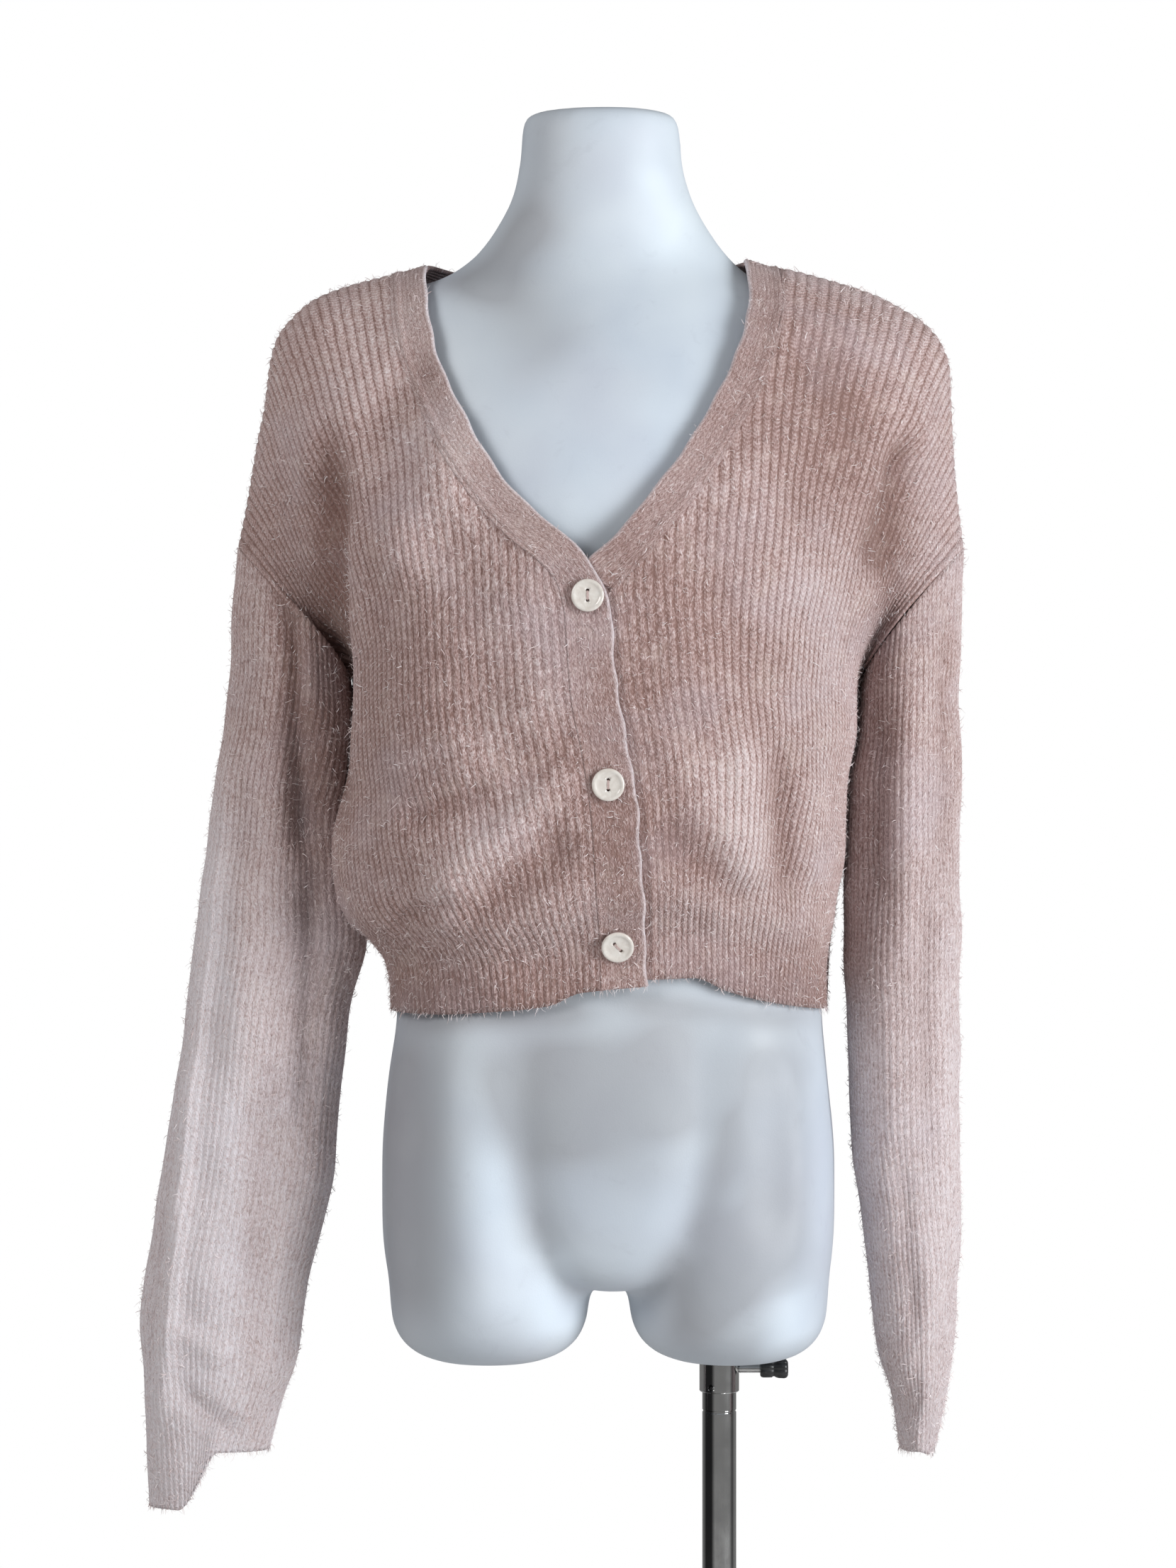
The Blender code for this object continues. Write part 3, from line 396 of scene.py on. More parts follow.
def fold_height(folds, x, z):
    """The height of all the strokes together at a place in the front view."""
    height = np.zeros(np.shape(x))
    for x0, z0, x1, z1, width, rise in zip(*folds.values()):
        run = (x1 - x0) ** 2 + (z1 - z0) ** 2
        along = ((x - x0) * (x1 - x0) + (z - z0) * (z1 - z0)) / run
        near = np.clip(along, 0, 1)
        apart = np.hypot(x - x0 - near * (x1 - x0), z - z0 - near * (z1 - z0))
        past = np.maximum(np.abs(along - 0.5) - FOLD_END_START, 0)
        ends = np.exp(-((past / FOLD_END_LENGTH) ** 2))
        height = height + rise * np.exp(-((apart / width) ** 2)) * ends
    return height


def unevenness(x, z):
    height = np.zeros(np.shape(x))
    for per_x, per_z, phase, rise in zip(*UNEVEN.values()):
        height = height + rise * np.sin(per_x * x + per_z * z + phase)
    return height


def rows_along(points, rows):
    """Each rib read again at rows from the hem, the same for all, with the last ones at the rib's end."""
    hem_rows = max(2, rows // HEM_ROW_SHARE)
    length = line_length(points[..., :3])
    hem = np.linspace(0, HEM_RIB_LENGTH, hem_rows, endpoint=False)
    above = np.linspace(HEM_RIB_LENGTH, length[:, -1].max(), rows - hem_rows)
    reach = np.minimum(np.concatenate([hem, above]), length[:, -1:])
    return np.stack([read_line(*rib) for rib in zip(points, length, reach)]), reach


def neck_w(side, u, height_over):
    """The w at which each rib meets the neckline, or 2 where it runs to the shoulder."""
    top = np.full(np.shape(u), 2.0)
    meets = halved(np.ones(np.shape(u)), top, lambda w: height_over(u, w) > 0)
    return np.where(height_over(u, top) > 1e-6, meets, top)


def front_points(side, columns, rows):
    """The outer face of a front, rib by rib, from the band's seam to the side."""
    u = np.linspace(0, 1, columns)

    def inside_neck(u, w):
        x, _, z = body_point(side, u, w, "front")
        return side * seam_x(side, z) - side * x

    ends = neck_w(side, u, inside_neck)
    shoulder_start = u[np.argmax(ends > 1.9999)]
    ends = np.where(u >= shoulder_start, 2.0, ends)
    w = np.linspace(0, 1, RIB_SAMPLES)[None, :] * ends[:, None]
    x, y, z = body_point(side, u[:, None], w, "front")
    bound = side * seam_x(side, z) - UNDER_BAND
    inside = (z > LAP_TOP_Z) & (side * x < bound)
    x[inside] = side * bound[inside]
    y[inside] = depth_at(side, x[inside], z[inside])
    if side < 0:
        near = 1 - ramp(0.02, 0.22, u)[:, None]
        y = y + near * lap(z)
    points = np.stack([x, -y - SEAM_GAP / 2, z + lift(side, x, z), w], axis=2)
    points, reach = rows_along(points, rows)
    out = body_normal(side, u[:, None], points[..., 3], "front") * (1, -1, 1)
    return points[..., :3], out, reach


def normals(points, closed):
    """The outward direction at each point of a grid of ribs and rows."""
    if closed:
        ring = points[:-1]
        along = np.roll(ring, -1, axis=0) - np.roll(ring, 1, axis=0)
        along = np.concatenate([along, along[:1]])
    else:
        along = np.gradient(points, axis=0)
    return unit(np.cross(along, np.gradient(points, axis=1)))


def rib_profile(rib):
    """A broad round ridge for each rib, with a narrow valley between two ribs."""
    return np.abs(np.sin(math.pi * rib)) ** 0.6


class Shade:
    """A shader socket on which Python's own operators add Math nodes."""

    def __init__(self, tree, socket=None):
        self.tree = tree
        self.socket = socket

    def node(self, kind, sockets=(), out=0, **settings):
        """A node of any kind, with its settings, then its sockets' values or links, read at one output."""
        made = self.tree.nodes.new(kind)
        for name, value in settings.items():
            setattr(made, name, value)
        for name, value in dict(sockets).items():
            if isinstance(value, Shade):
                self.tree.links.new(value.socket, made.inputs[name])
            else:
                made.inputs[name].default_value = value
        return Shade(self.tree, made.outputs[out])

    def math(self, operation, *others):
        return self.node("ShaderNodeMath", enumerate((self, *others)), operation=operation)

    def mix(self, factor, first, second):
        """A colour between two colours, each a link or a constant."""
        first, second = ((*c, 1) if isinstance(c, tuple) else c for c in (first, second))
        return self.node("ShaderNodeMix", {0: factor, 6: first, 7: second}, out=2, data_type="RGBA")

    def noise(self, vector, scale, detail=2.0, roughness=0.5, distortion=0.0):
        sockets = {"Vector": vector, "Scale": scale, "Detail": detail, "Roughness": roughness}
        return self.node("ShaderNodeTexNoise", {**sockets, "Distortion": distortion})

    def place(self):
        return self.node("ShaderNodeTexCoord", out="Object")

    def attribute(self, name):
        return self.node("ShaderNodeAttribute", attribute_name=name, out="Fac")

    def axis(self, number):
        return self.node("ShaderNodeSeparateXYZ", {0: self}, out=number)

    def clamped(self):
        return self.node("ShaderNodeClamp", {0: self})

    def above(self, start, gain):
        """Nought up to the start, then a rise to 1."""
        return ((self - start) * gain).clamped()

    def feeds(self, shader, socket):
        self.tree.links.new(self.socket, shader.inputs[socket])

    def __add__(self, other):
        return self.math("ADD", other)

    def __sub__(self, other):
        return self.math("SUBTRACT", other)

    def __rsub__(self, other):
        return self.node("ShaderNodeMath", {0: other, 1: self}, operation="SUBTRACT")

    def __mul__(self, other):
        return self.math("MULTIPLY", other)

    def __pow__(self, other):
        return self.math("POWER", other)

    __radd__ = __add__
    __rmul__ = __mul__


def new_material(name, roughness, **sockets):
    """A material, its shader with the constants set, and a Shade to write its colours with."""
    made = bpy.data.materials.new(name)
    made.use_nodes = True
    shader = made.node_tree.nodes["Principled BSDF"]
    shader.inputs["Roughness"].default_value = roughness
    for socket, value in sockets.items():
        shader.inputs[socket.replace("_", " ")].default_value = value
    return made, shader, Shade(made.node_tree)


# The yarn's tone runs from the deep colour through the middle to the light one; painted shade pushes it
# towards the deep end.
YARN_DEEP = (0.295, 0.175, 0.150)
YARN_MIDDLE = (0.575, 0.405, 0.385)
YARN_LIGHT = (0.865, 0.745, 0.740)
YARN_LILAC = (0.590, 0.500, 0.550)
YARN_BEIGE = (0.700, 0.560, 0.500)
# The colour that painted light mixes into the yarn.
YARN_PAINTED_LIGHT = (0.940, 0.890, 0.935)


def brushed_yarn(name, rib_depth, valley_shade, fleck):
    """Rib knit of a brushed heather yarn, drawn in knit coordinates: ribs across and courses along."""
    made, shader, at = new_material(
        name, 0.92, Sheen_Weight=0.22, Sheen_Roughness=0.45, Specular_IOR_Level=0.12
    )
    place = at.place()
    knit = at.node("ShaderNodeUVMap", uv_map="knit")
    fuzz = at.attribute("fuzz")
    waver = at.noise(place, 95.0, 2.0) - 0.5
    rib = knit.axis(0) + waver * 0.30
    course = knit.axis(1) + waver * 0.8

    across = (rib * math.pi).math("SINE").math("ABSOLUTE")
    valley = (1 - across) ** 2.2
    stitch = ((course + across * 0.9) * math.tau).math("SINE") * 0.5 + 0.5

    nap_place = at.node("ShaderNodeCombineXYZ", {0: rib * 7.0 * fleck, 1: course * 0.9 * fleck})
    nap = at.noise(nap_place, 1.0, 3.0, 0.62, 0.7) - 0.5
    fibre_place = at.node("ShaderNodeCombineXYZ", {0: rib * 17.0, 1: course * 1.8, 2: 3.0})
    fibre = at.noise(fibre_place, 1.0, 2.0, 0.6, 1.2) - 0.5
    streak_place = at.node("ShaderNodeCombineXYZ", {0: rib * 2.4, 1: course * 0.42, 2: 7.0})
    streak = at.noise(streak_place, 1.0, 2.0, 0.55, 1.6) - 0.5
    clump = at.noise(place, 230.0, 3.0, 0.6, 1.5) - 0.5
    cloud = at.noise(place, 15.0, 3.0, 0.55)
    patch = at.noise(place, 62.0, 3.0, 0.55, 0.5)

    height = across * rib_depth * (1 - fuzz * 0.45) + stitch * 0.22
    height = height + nap * 0.8 + fibre * 0.4 + clump * 0.7 + streak * (fuzz * 0.5 + 0.4)
    bump = at.node("ShaderNodeBump", {"Strength": 0.85, "Distance": 0.0012, "Height": height})
    bump.feeds(shader, "Normal")

    # The attribute read here carries painted shade, which darkens the tone, and painted highlight where it
    # is below nought.
    shade_and_highlight = at.attribute("shade_and_highlight")
    # The attribute read here carries painted light, which lightens the tone and mixes in a pale lilac.
    painted_light = at.attribute("painted_light")
    worn = nap * (fuzz * 0.8 + 1.1) + fibre * 1.5 + clump * 0.6 + streak * (fuzz * 1.1 + 0.4)
    worn = worn + (patch + cloud - 1.0) * 0.25
    tone = worn * (1 - painted_light * 0.35) + 0.57 + (stitch - 0.5) * (0.30 - fuzz * 0.16)
    # Painted shade in the valleys between the ribs.
    tone = tone - valley * valley_shade * (1 - painted_light * 0.55) * (1 - fuzz * 0.45)
    tone = tone - shade_and_highlight * 0.52 + painted_light * 0.25
    body = at.mix((tone * 2).clamped(), YARN_DEEP, YARN_MIDDLE)
    body = at.mix((tone * 2 - 1).clamped(), body, YARN_LIGHT)
    body = at.mix(cloud.above(0.50, 4.0) * 0.30, body, YARN_LILAC)
    body = at.mix(patch.above(0.54, 5.0) * 0.22, body, YARN_BEIGE)
    at.mix((painted_light * (worn * 0.8 + 0.62)).clamped(), body, YARN_PAINTED_LIGHT).feeds(shader, "Base Color")
    return made


RIB_KNIT = brushed_yarn("brushed_rib_knit", 0.60, 0.66, 1.0)

NAP = []


def to_mesh(name, bm):
    mesh = bpy.data.meshes.new(name)
    bm.to_mesh(mesh)
    bm.free()
    return mesh


def vertex_places(mesh):
    flat = np.empty(len(mesh.vertices) * 3)
    mesh.vertices.foreach_get("co", flat)
    return flat.reshape(-1, 3)


def linked(name, data):
    """An object of the scene with this mesh, light or lens."""
    obj = bpy.data.objects.new(name, data)
    bpy.context.scene.collection.objects.link(obj)
    return obj


def piece(name, mesh, finish, body="dressed_form"):
    """A mesh as a smooth piece with its finish on, riding its body."""
    mesh.materials.append(finish)
    mesh.shade_smooth()
    obj = linked(name, mesh)
    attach(obj, body)
    return obj


def knit_shell(name, points, outward, reach, ribs, shade, finish, wall=WALL, painted_light=0.0, fuzz=0.2):
    """A wall of cloth through a grid of points, with its knit coordinates, painted shade, painted light and
    fuzz.
    """
    columns, rows = points.shape[:2]
    bm = bmesh.new()
    bmesh.ops.create_grid(bm, x_segments=columns - 1, y_segments=rows - 1, size=0.5)
    mesh = to_mesh(name, bm)
    flat = vertex_places(mesh)
    i = np.rint((flat[:, 0] + 0.5) * (columns - 1)).astype(int)
    j = np.rint((flat[:, 1] + 0.5) * (rows - 1)).astype(int)
    mesh.vertices.foreach_set("co", points[i, j].ravel())
    corner = np.empty(len(mesh.loops), np.int32)
    mesh.loops.foreach_get("vertex_index", corner)
    knit = np.stack([np.linspace(0, ribs, columns)[i], reach[i, j] / COURSE], axis=1)
    mesh.uv_layers.new(name="knit").data.foreach_set("uv", knit[corner].ravel())
    for label, value in (("shade_and_highlight", np.clip(shade, -0.5, 1)), ("painted_light", painted_light), ("fuzz", fuzz)):
        value = np.broadcast_to(value, points.shape[:2])[i, j]
        mesh.attributes.new(label, "FLOAT", "POINT").data.foreach_set("value", value)
    mesh.update()
    face = mesh.polygons[len(mesh.polygons) // 2]
    first = face.vertices[0]
    if Vector(outward[i[first], j[first]]).dot(face.normal) < 0:
        mesh.flip_normals()
    bm = bmesh.new()
    bm.from_mesh(mesh)
    bmesh.ops.remove_doubles(bm, verts=bm.verts, dist=1e-6)
    bm.to_mesh(mesh)
    bm.free()
    obj = piece(name, mesh, finish)
    thick = obj.modifiers.new("wall", "SOLIDIFY")
    thick.thickness = wall
    thick.offset = -1
    NAP.append((name, points, outward))
    return obj


def raise_ribs(points, out, ribs, rise):
    """Lifts each rib out of the cloth, with a valley at both of the panel's edges."""
    profile = rib_profile(np.linspace(0, ribs, len(points)))
    return points + out * rise * profile[:, None, None]


DEEP_TROUGH = 0.012
HIGH_RIDGE = 0.018


def fold_shade(folds):
    """The painted shade of a trough, where less light gets into it. A ridge gets a little painted highlight,
    below nought.
    """
    return np.where(folds < 0, folds / -DEEP_TROUGH, folds / -HIGH_RIDGE).clip(-0.3, 0.85)


def cloth_area(points):
    """The area of a grid of points, which is that of the panel before its ribs are raised."""
    across = np.diff(points, axis=0)[:, :-1]
    up = np.diff(points, axis=1)[:-1]
    return float(np.linalg.norm(np.cross(across, up), axis=2).sum())


FRONT_ROWS = 126
# Painted shade on the hem, and on the side that is turned from the light.
HEM_SHADE = 0.75
HEM_SHADE_RISE = 0.07
SIDE_SHADE = 0.30

for side in (-1, 1):
    points, out, reach = front_points(side, FRONT_RIBS * COLUMNS_PER_RIB + 1, FRONT_ROWS)
    x, z = points[..., 0], points[..., 2]
    folds = fold_height(FRONT_FOLDS, x, z)
    u = np.linspace(0, 1, len(points))[:, None]
    fade = ramp(0.0, 0.10, u) * ramp(0.0, 0.06, 1 - u) * ramp(0.0, 0.03, reach[:, -1:] - reach)
    points = points + out * (folds + unevenness(x, z) * fade)[..., None]
    points[..., 1] = np.minimum(points[..., 1], -SEAM_GAP / 2)
    ribs = raise_ribs(points, out, FRONT_RIBS, RIB_RISE)
    ribs[..., 1] = np.minimum(ribs[..., 1], -SEAM_GAP / 2)
    # Painted shade in the folds' troughs, along the strokes, on the hem and on the side turned from the
    # light, with painted highlight on the ridges.
    shade = fold_shade(folds) + fold_height(YARN_SHADE_STROKES, x, z)
    shade = shade + HEM_SHADE * (1 - ramp(HEM_Z, HEM_Z + HEM_SHADE_RISE, z))
    shade = shade + SIDE_SHADE * ramp(0.08, 0.16, -x) * (1 - ramp(1.10, 1.20, z))
    fuzz = 0.25 + 0.65 * ramp(-0.17, -0.11, x) * (1 - ramp(0.03, 0.10, x))
    name = f"knit_front_{SIDES[side]}"
    panel = knit_shell(name, ribs, out, reach, FRONT_RIBS, shade, RIB_KNIT, fuzz=fuzz)
    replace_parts(panel, f"front_{SIDES[side]}")

# THE BACK
# One panel of the same rib from side seam to side seam, with a shallow scoop for the neck.
# It hangs from the shoulders, stands off the form's hollow back and blouses over the hem.

BACK_HALF_RIBS = 48
BACK_ROWS = 118
NECK_POINT = 2
BACK_NECK_Z = 1.268
BACK_NECK_RISE = 0.018
BACK_HEM_SHADE = 0.25
BACK_FOLDS = strokes(
    (-0.188, 1.150, -0.186, 0.920, 0.013, -0.011),
    (0.200, 1.150, 0.180, 0.960, 0.013, -0.011),
    (-0.060, 1.230, -0.100, 0.930, 0.022, 0.005),
    (0.070, 1.220, 0.110, 0.910, 0.022, 0.005),
    (0.010, 0.960, 0.020, 0.850, 0.015, -0.006),
    (-0.100, 0.900, -0.120, 0.838, 0.012, -0.006),
    (0.045, 0.930, 0.115, 0.850, 0.012, 0.005),
    (0.095, 0.905, 0.150, 0.845, 0.011, -0.005),
    (-0.030, 0.945, -0.075, 0.850, 0.012, 0.005),
    (-0.020, 1.190, 0.050, 1.080, 0.020, -0.003),
    (-0.140, 1.060, -0.110, 0.950, 0.014, 0.004),
)


def back_neck_z(x):
    """The back's neckline: a shallow scoop between the two shoulders."""
    right, left = SHOULDER[-1]["x"][NECK_POINT], SHOULDER[1]["x"][NECK_POINT]
    across = np.clip(np.abs(x - (right + left) / 2) / ((left - right) / 2), 0, 1)
    return BACK_NECK_Z + BACK_NECK_RISE * across**3


def back_points(columns, rows):
    """The outer face of the back, from the right side seam to the left one."""
    u = np.linspace(-1, 1, columns)
    halves = []
    for side, part in ((-1, -u[u < 0]), (1, u[u >= 0])):

        def over_neck(u, w, side=side):
            x, _, z = body_point(side, u, w, "back")
            return z - back_neck_z(x)

        on_neck = shoulder_point(side, part)[0] * side < abs(SHOULDER[side]["x"][NECK_POINT]) - 1e-6
        ends = np.where(on_neck, neck_w(side, part, over_neck), 2.0)
        w = np.linspace(0, 1, RIB_SAMPLES)[None, :] * ends[:, None]
        x, y, z = body_point(side, part[:, None], w, "back")
        halves.append(np.stack([x, y + SEAM_GAP / 2, z, w], axis=2))
    points, reach = rows_along(np.concatenate(halves), rows)
    out = [
        body_normal(-1, -u[u < 0, None], points[u < 0, :, 3], "back"),
        body_normal(1, u[u >= 0, None], points[u >= 0, :, 3], "back"),
    ]
    return points[..., :3], np.concatenate(out), reach


back_face, back_out, reach = back_points(2 * BACK_HALF_RIBS * COLUMNS_PER_RIB + 1, BACK_ROWS)
on_neck = np.flatnonzero(back_face[:, -1, 1] > SEAM_GAP)
u = np.abs(np.linspace(-1, 1, len(back_face)))[:, None]
fade = ramp(0.0, 0.06, 1 - u) * ramp(0.0, 0.03, reach[:, -1:] - reach)
folds = fold_height(BACK_FOLDS, back_face[..., 0], back_face[..., 2])
rough = unevenness(back_face[..., 0] + 0.7, back_face[..., 2]) * fade
back_face = back_face + back_out * (folds + rough)[..., None]
back_face[..., 1] = np.maximum(back_face[..., 1], SEAM_GAP / 2)
ribs = raise_ribs(back_face, back_out, 2 * BACK_HALF_RIBS, RIB_RISE)
ribs[..., 1] = np.maximum(ribs[..., 1], SEAM_GAP / 2)
# Painted shade in the folds' troughs and along the hem, with painted highlight on the ridges.
shade = fold_shade(folds) + BACK_HEM_SHADE * (1 - ramp(HEM_Z, HEM_Z + HEM_SHADE_RISE, back_face[..., 2]))
panel = knit_shell("knit_back", ribs, back_out, reach, 2 * BACK_HALF_RIBS, shade, RIB_KNIT)
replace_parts(panel, "back")

# THE TWO SLEEVES
# Each is a tube of the rib, joined to the dropped shoulder and narrowing to an open cuff.
# They hang free and empty, so they fall flat with long soft creases.

SLEEVE_RIBS = 60
SLEEVE_COLUMNS_PER_RIB = 3
SLEEVE_ROWS = 130
# From the armhole down to the cuff: the outer and inner side, and the depth in front and behind.
SLEEVE = {
    -1: table(
        "row outer_x outer_z inner_x inner_z front back",
        (0, -0.2590, 1.0915, -0.1820, 1.004, 0.054, 0.054),
        (1, -0.2640, 1.0200, -0.1750, 0.955, 0.050, 0.050),
        (2, -0.2720, 0.9370, -0.1800, 0.905, 0.044, 0.046),
        (3, -0.2810, 0.8750, -0.1780, 0.860, 0.040, 0.044),
        (4, -0.2890, 0.8200, -0.1695, 0.816, 0.036, 0.044),
        (5, -0.2960, 0.7650, -0.1810, 0.770, 0.033, 0.042),
        (6, -0.3050, 0.7000, -0.1880, 0.700, 0.032, 0.038),
        (7, -0.3160, 0.6350, -0.1960, 0.635, 0.031, 0.035),
        (8, -0.3250, 0.5750, -0.2110, 0.572, 0.030, 0.032),
        (9, -0.3275, 0.5350, -0.2170, 0.530, 0.028, 0.030),
        (10, -0.3230, 0.4920, -0.2285, 0.492, 0.025, 0.026),
        (11, -0.3215, 0.4570, -0.2380, 0.457, 0.022, 0.024),
    ),
    1: table(
        "row outer_x outer_z inner_x inner_z front back",
        (0, 0.2515, 1.0915, 0.1800, 1.000, 0.054, 0.054),
        (1, 0.2495, 1.0200, 0.1740, 0.955, 0.052, 0.052),
        (2, 0.2490, 0.9370, 0.1680, 0.905, 0.050, 0.050),
        (3, 0.2485, 0.8700, 0.1690, 0.865, 0.048, 0.048),
        (4, 0.2490, 0.8120, 0.1680, 0.812, 0.046, 0.046),
        (5, 0.2490, 0.7600, 0.1705, 0.760, 0.045, 0.045),
        (6, 0.2485, 0.6910, 0.1720, 0.700, 0.044, 0.044),
        (7, 0.2485, 0.6400, 0.1780, 0.640, 0.043, 0.043),
        (8, 0.2475, 0.5800, 0.1860, 0.580, 0.042, 0.042),
        (9, 0.2450, 0.5330, 0.1920, 0.530, 0.040, 0.040),
        (10, 0.2390, 0.4980, 0.2010, 0.500, 0.038, 0.036),
        (11, 0.2300, 0.4640, 0.2090, 0.459, 0.034, 0.032),
    ),
}
CUFF_DROP = {-1: 0.040, 1: 0.004}
CUFF_DROP_ROWS = 2.0
# The creases on the front half of each sleeve, and on its back half.
SLEEVE_FOLDS = {
    -1: strokes(
        (-0.226, 1.100, -0.214, 0.985, 0.009, -0.010),
        (-0.216, 1.000, -0.205, 0.870, 0.013, -0.013),
        (-0.211, 1.080, -0.203, 0.960, 0.006, 0.004),
        (-0.262, 0.960, -0.284, 0.760, 0.008, 0.004),
        (-0.282, 0.790, -0.312, 0.480, 0.007, 0.005),
        (-0.296, 0.790, -0.324, 0.500, 0.006, -0.003),
        (-0.235, 0.900, -0.262, 0.700, 0.016, 0.003),
        (-0.203, 0.880, -0.213, 0.680, 0.009, -0.007),
        (-0.232, 0.740, -0.256, 0.560, 0.014, -0.003),
        (-0.225, 0.620, -0.243, 0.500, 0.008, 0.003),
        (-0.302, 0.505, -0.258, 0.470, 0.008, -0.004),
        (-0.305, 0.545, -0.262, 0.525, 0.009, 0.003),
    ),
    1: strokes(
        (0.238, 1.060, 0.236, 0.860, 0.008, -0.004),
        (0.215, 1.020, 0.208, 0.800, 0.012, 0.004),
        (0.192, 0.980, 0.186, 0.840, 0.009, -0.003),
        (0.224, 0.860, 0.226, 0.640, 0.009, -0.004),
        (0.236, 0.800, 0.236, 0.580, 0.007, 0.003),
        (0.192, 0.800, 0.200, 0.620, 0.010, 0.003),
        (0.200, 0.680, 0.216, 0.540, 0.010, -0.004),
        (0.228, 0.600, 0.222, 0.500, 0.008, 0.003),
        (0.222, 0.540, 0.212, 0.480, 0.007, -0.003),
    ),
}
SLEEVE_BACK_FOLDS = {
    -1: strokes(
        (-0.228, 1.080, -0.212, 0.930, 0.010, -0.008),
        (-0.250, 1.000, -0.262, 0.800, 0.009, 0.004),
        (-0.214, 0.920, -0.224, 0.740, 0.011, -0.007),
        (-0.270, 0.800, -0.296, 0.580, 0.008, -0.004),
        (-0.240, 0.700, -0.262, 0.540, 0.010, 0.004),
        (-0.300, 0.560, -0.256, 0.500, 0.009, -0.003),
    ),
    1: strokes(
        (0.232, 1.060, 0.216, 0.900, 0.010, -0.007),
        (0.200, 0.960, 0.194, 0.780, 0.009, -0.005),
        (0.222, 0.860, 0.212, 0.640, 0.010, 0.004),
        (0.236, 0.760, 0.230, 0.600, 0.007, -0.003),
        (0.196, 0.680, 0.212, 0.520, 0.009, -0.004),
    ),
}
# Painted light down the sleeves, most of all on the right one.
SLEEVE_PAINTED_LIGHT = {-1: 1.0, 1: 0.50}
# Painted shade on their inner side, which lies in the body's shade.
SLEEVE_INNER_SHADE = {-1: 0.75, 1: 0.45}
# Painted shade is lessened by this all down the sleeves, which paints them a little lighter.
SLEEVE_LESS_SHADE = 0.10


def evenly(line, count):
    """Points at even steps along a line of points."""
    length = line_length(line)
    return read_line(line, length, np.linspace(0, length[-1], count))


def sleeve_points(side, columns, rows):
    """The outer face of a sleeve as rings of points, from the underarm round the front."""
    lines = SLEEVE[side]
    row = np.linspace(0, lines["row"][-1], rows)
    angle = np.linspace(-math.pi / 2, 1.5 * math.pi, 1441)
    outer = (1 + np.sin(angle)) / 2
    forward = np.cos(angle) >= 0
    rings = []
    for at in row:
        value = {name: smooth(lines["row"], lines[name], at) for name in lines}
        bow = 1.3 - 0.3 * min(at / 2, 1)
        x = value["inner_x"] + (value["outer_x"] - value["inner_x"]) * outer**bow
        z = value["inner_z"] + (value["outer_z"] - value["inner_z"]) * outer
        drop = ramp(0, CUFF_DROP_ROWS, at - lines["row"][-1] + CUFF_DROP_ROWS)
        z = z - CUFF_DROP[side] * drop * ramp(0.40, 0.74, outer)
        depth = np.where(forward, value["front"], value["back"])
        y = -np.where(forward, 1, -1) * depth * np.sqrt(np.maximum(np.sin(math.pi * outer), 0))
        rings.append(evenly(np.stack([x, y, z], axis=1), columns))
    return np.stack(rings, axis=1)


for side in (-1, 1):
    points = sleeve_points(side, SLEEVE_RIBS * SLEEVE_COLUMNS_PER_RIB + 1, SLEEVE_ROWS)
    out = normals(points, True) * -side
    x, y, z = points[..., 0], points[..., 1], points[..., 2]
    in_front = ramp(-0.004, 0.012, -y)
    folds = fold_height(SLEEVE_FOLDS[side], x, z) * in_front
    folds = folds + fold_height(SLEEVE_BACK_FOLDS[side], x, z) * (1 - in_front)
    seam_fade = ramp(0.0, 0.05, np.linspace(0, 1, SLEEVE_ROWS))[None, :]
    rough = unevenness(x, z + 0.3) * (0.4 + 0.6 * in_front)
    points = points + out * ((folds + rough) * seam_fade)[..., None]
    points[-1] = points[0]
    out = normals(points, True) * -side
    reach = line_length(points)
    ribs = raise_ribs(points, out, SLEEVE_RIBS, RIB_RISE)
    ribs[-1] = ribs[0]
    # Painted shade on the inner side, which lies in the body's shade.
    inner_shade = SLEEVE_INNER_SHADE[side] * np.exp(-(((side * x - 0.200) / 0.022) ** 2)) * ramp(0.60, 0.70, z)
    # Painted light down the sleeve; on the right sleeve it also runs along the outer strip, most of all
    # towards the cuff.
    sleeve_light = 0.04 + (SLEEVE_PAINTED_LIGHT[side] - 0.04) * ramp(0.02, 0.36, 1.02 - z)
    if side < 0:
        outer_strip = ramp(0.245, 0.280, -x)
        sleeve_light = sleeve_light * (0.65 + 0.35 * outer_strip) + 0.70 * outer_strip * ramp(0.0, 0.18, 1.0 - z)
    sleeve_light = sleeve_light.clip(0, 1)
    # Painted shade in the folds' troughs and on the inner side, lessened all over, with painted highlight on
    # the ridges.
    shade = fold_shade(folds) + inner_shade - SLEEVE_LESS_SHADE
    name = f"knit_sleeve_{SIDES[side]}"
    panel = knit_shell(name, ribs, out, reach, SLEEVE_RIBS, shade, RIB_KNIT, painted_light=sleeve_light, fuzz=0.7)
    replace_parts(panel, f"sleeve_{SIDES[side]}")

# THE BAND
# A narrower doubled band is knitted along each front edge and round the back of the neck.
# Its loops run in fine lines along it, its free edge is rolled, and a welt joins it to the panels.

BAND_WALL = 0.0026
BAND_REACH = 1.07
BAND_LINES = 9
BAND_COLUMNS = 28
BAND_ROWS = 260
NECK_SEAM_LAP = -0.0006
NECK_BAND_LEAN = 0.010
NECK_BAND_END_RISE = 0.0055
NECK_BAND_RISE = 0.0165
LINE_RISE = 0.00035
EDGE_ROLL = 0.0020
WELT_RISE = 0.0014
SEAM_RISE = 0.0008
BAND_SHADE = 0.45
BAND_KNIT = brushed_yarn("brushed_band_knit", 0.30, 0.20, 0.8)


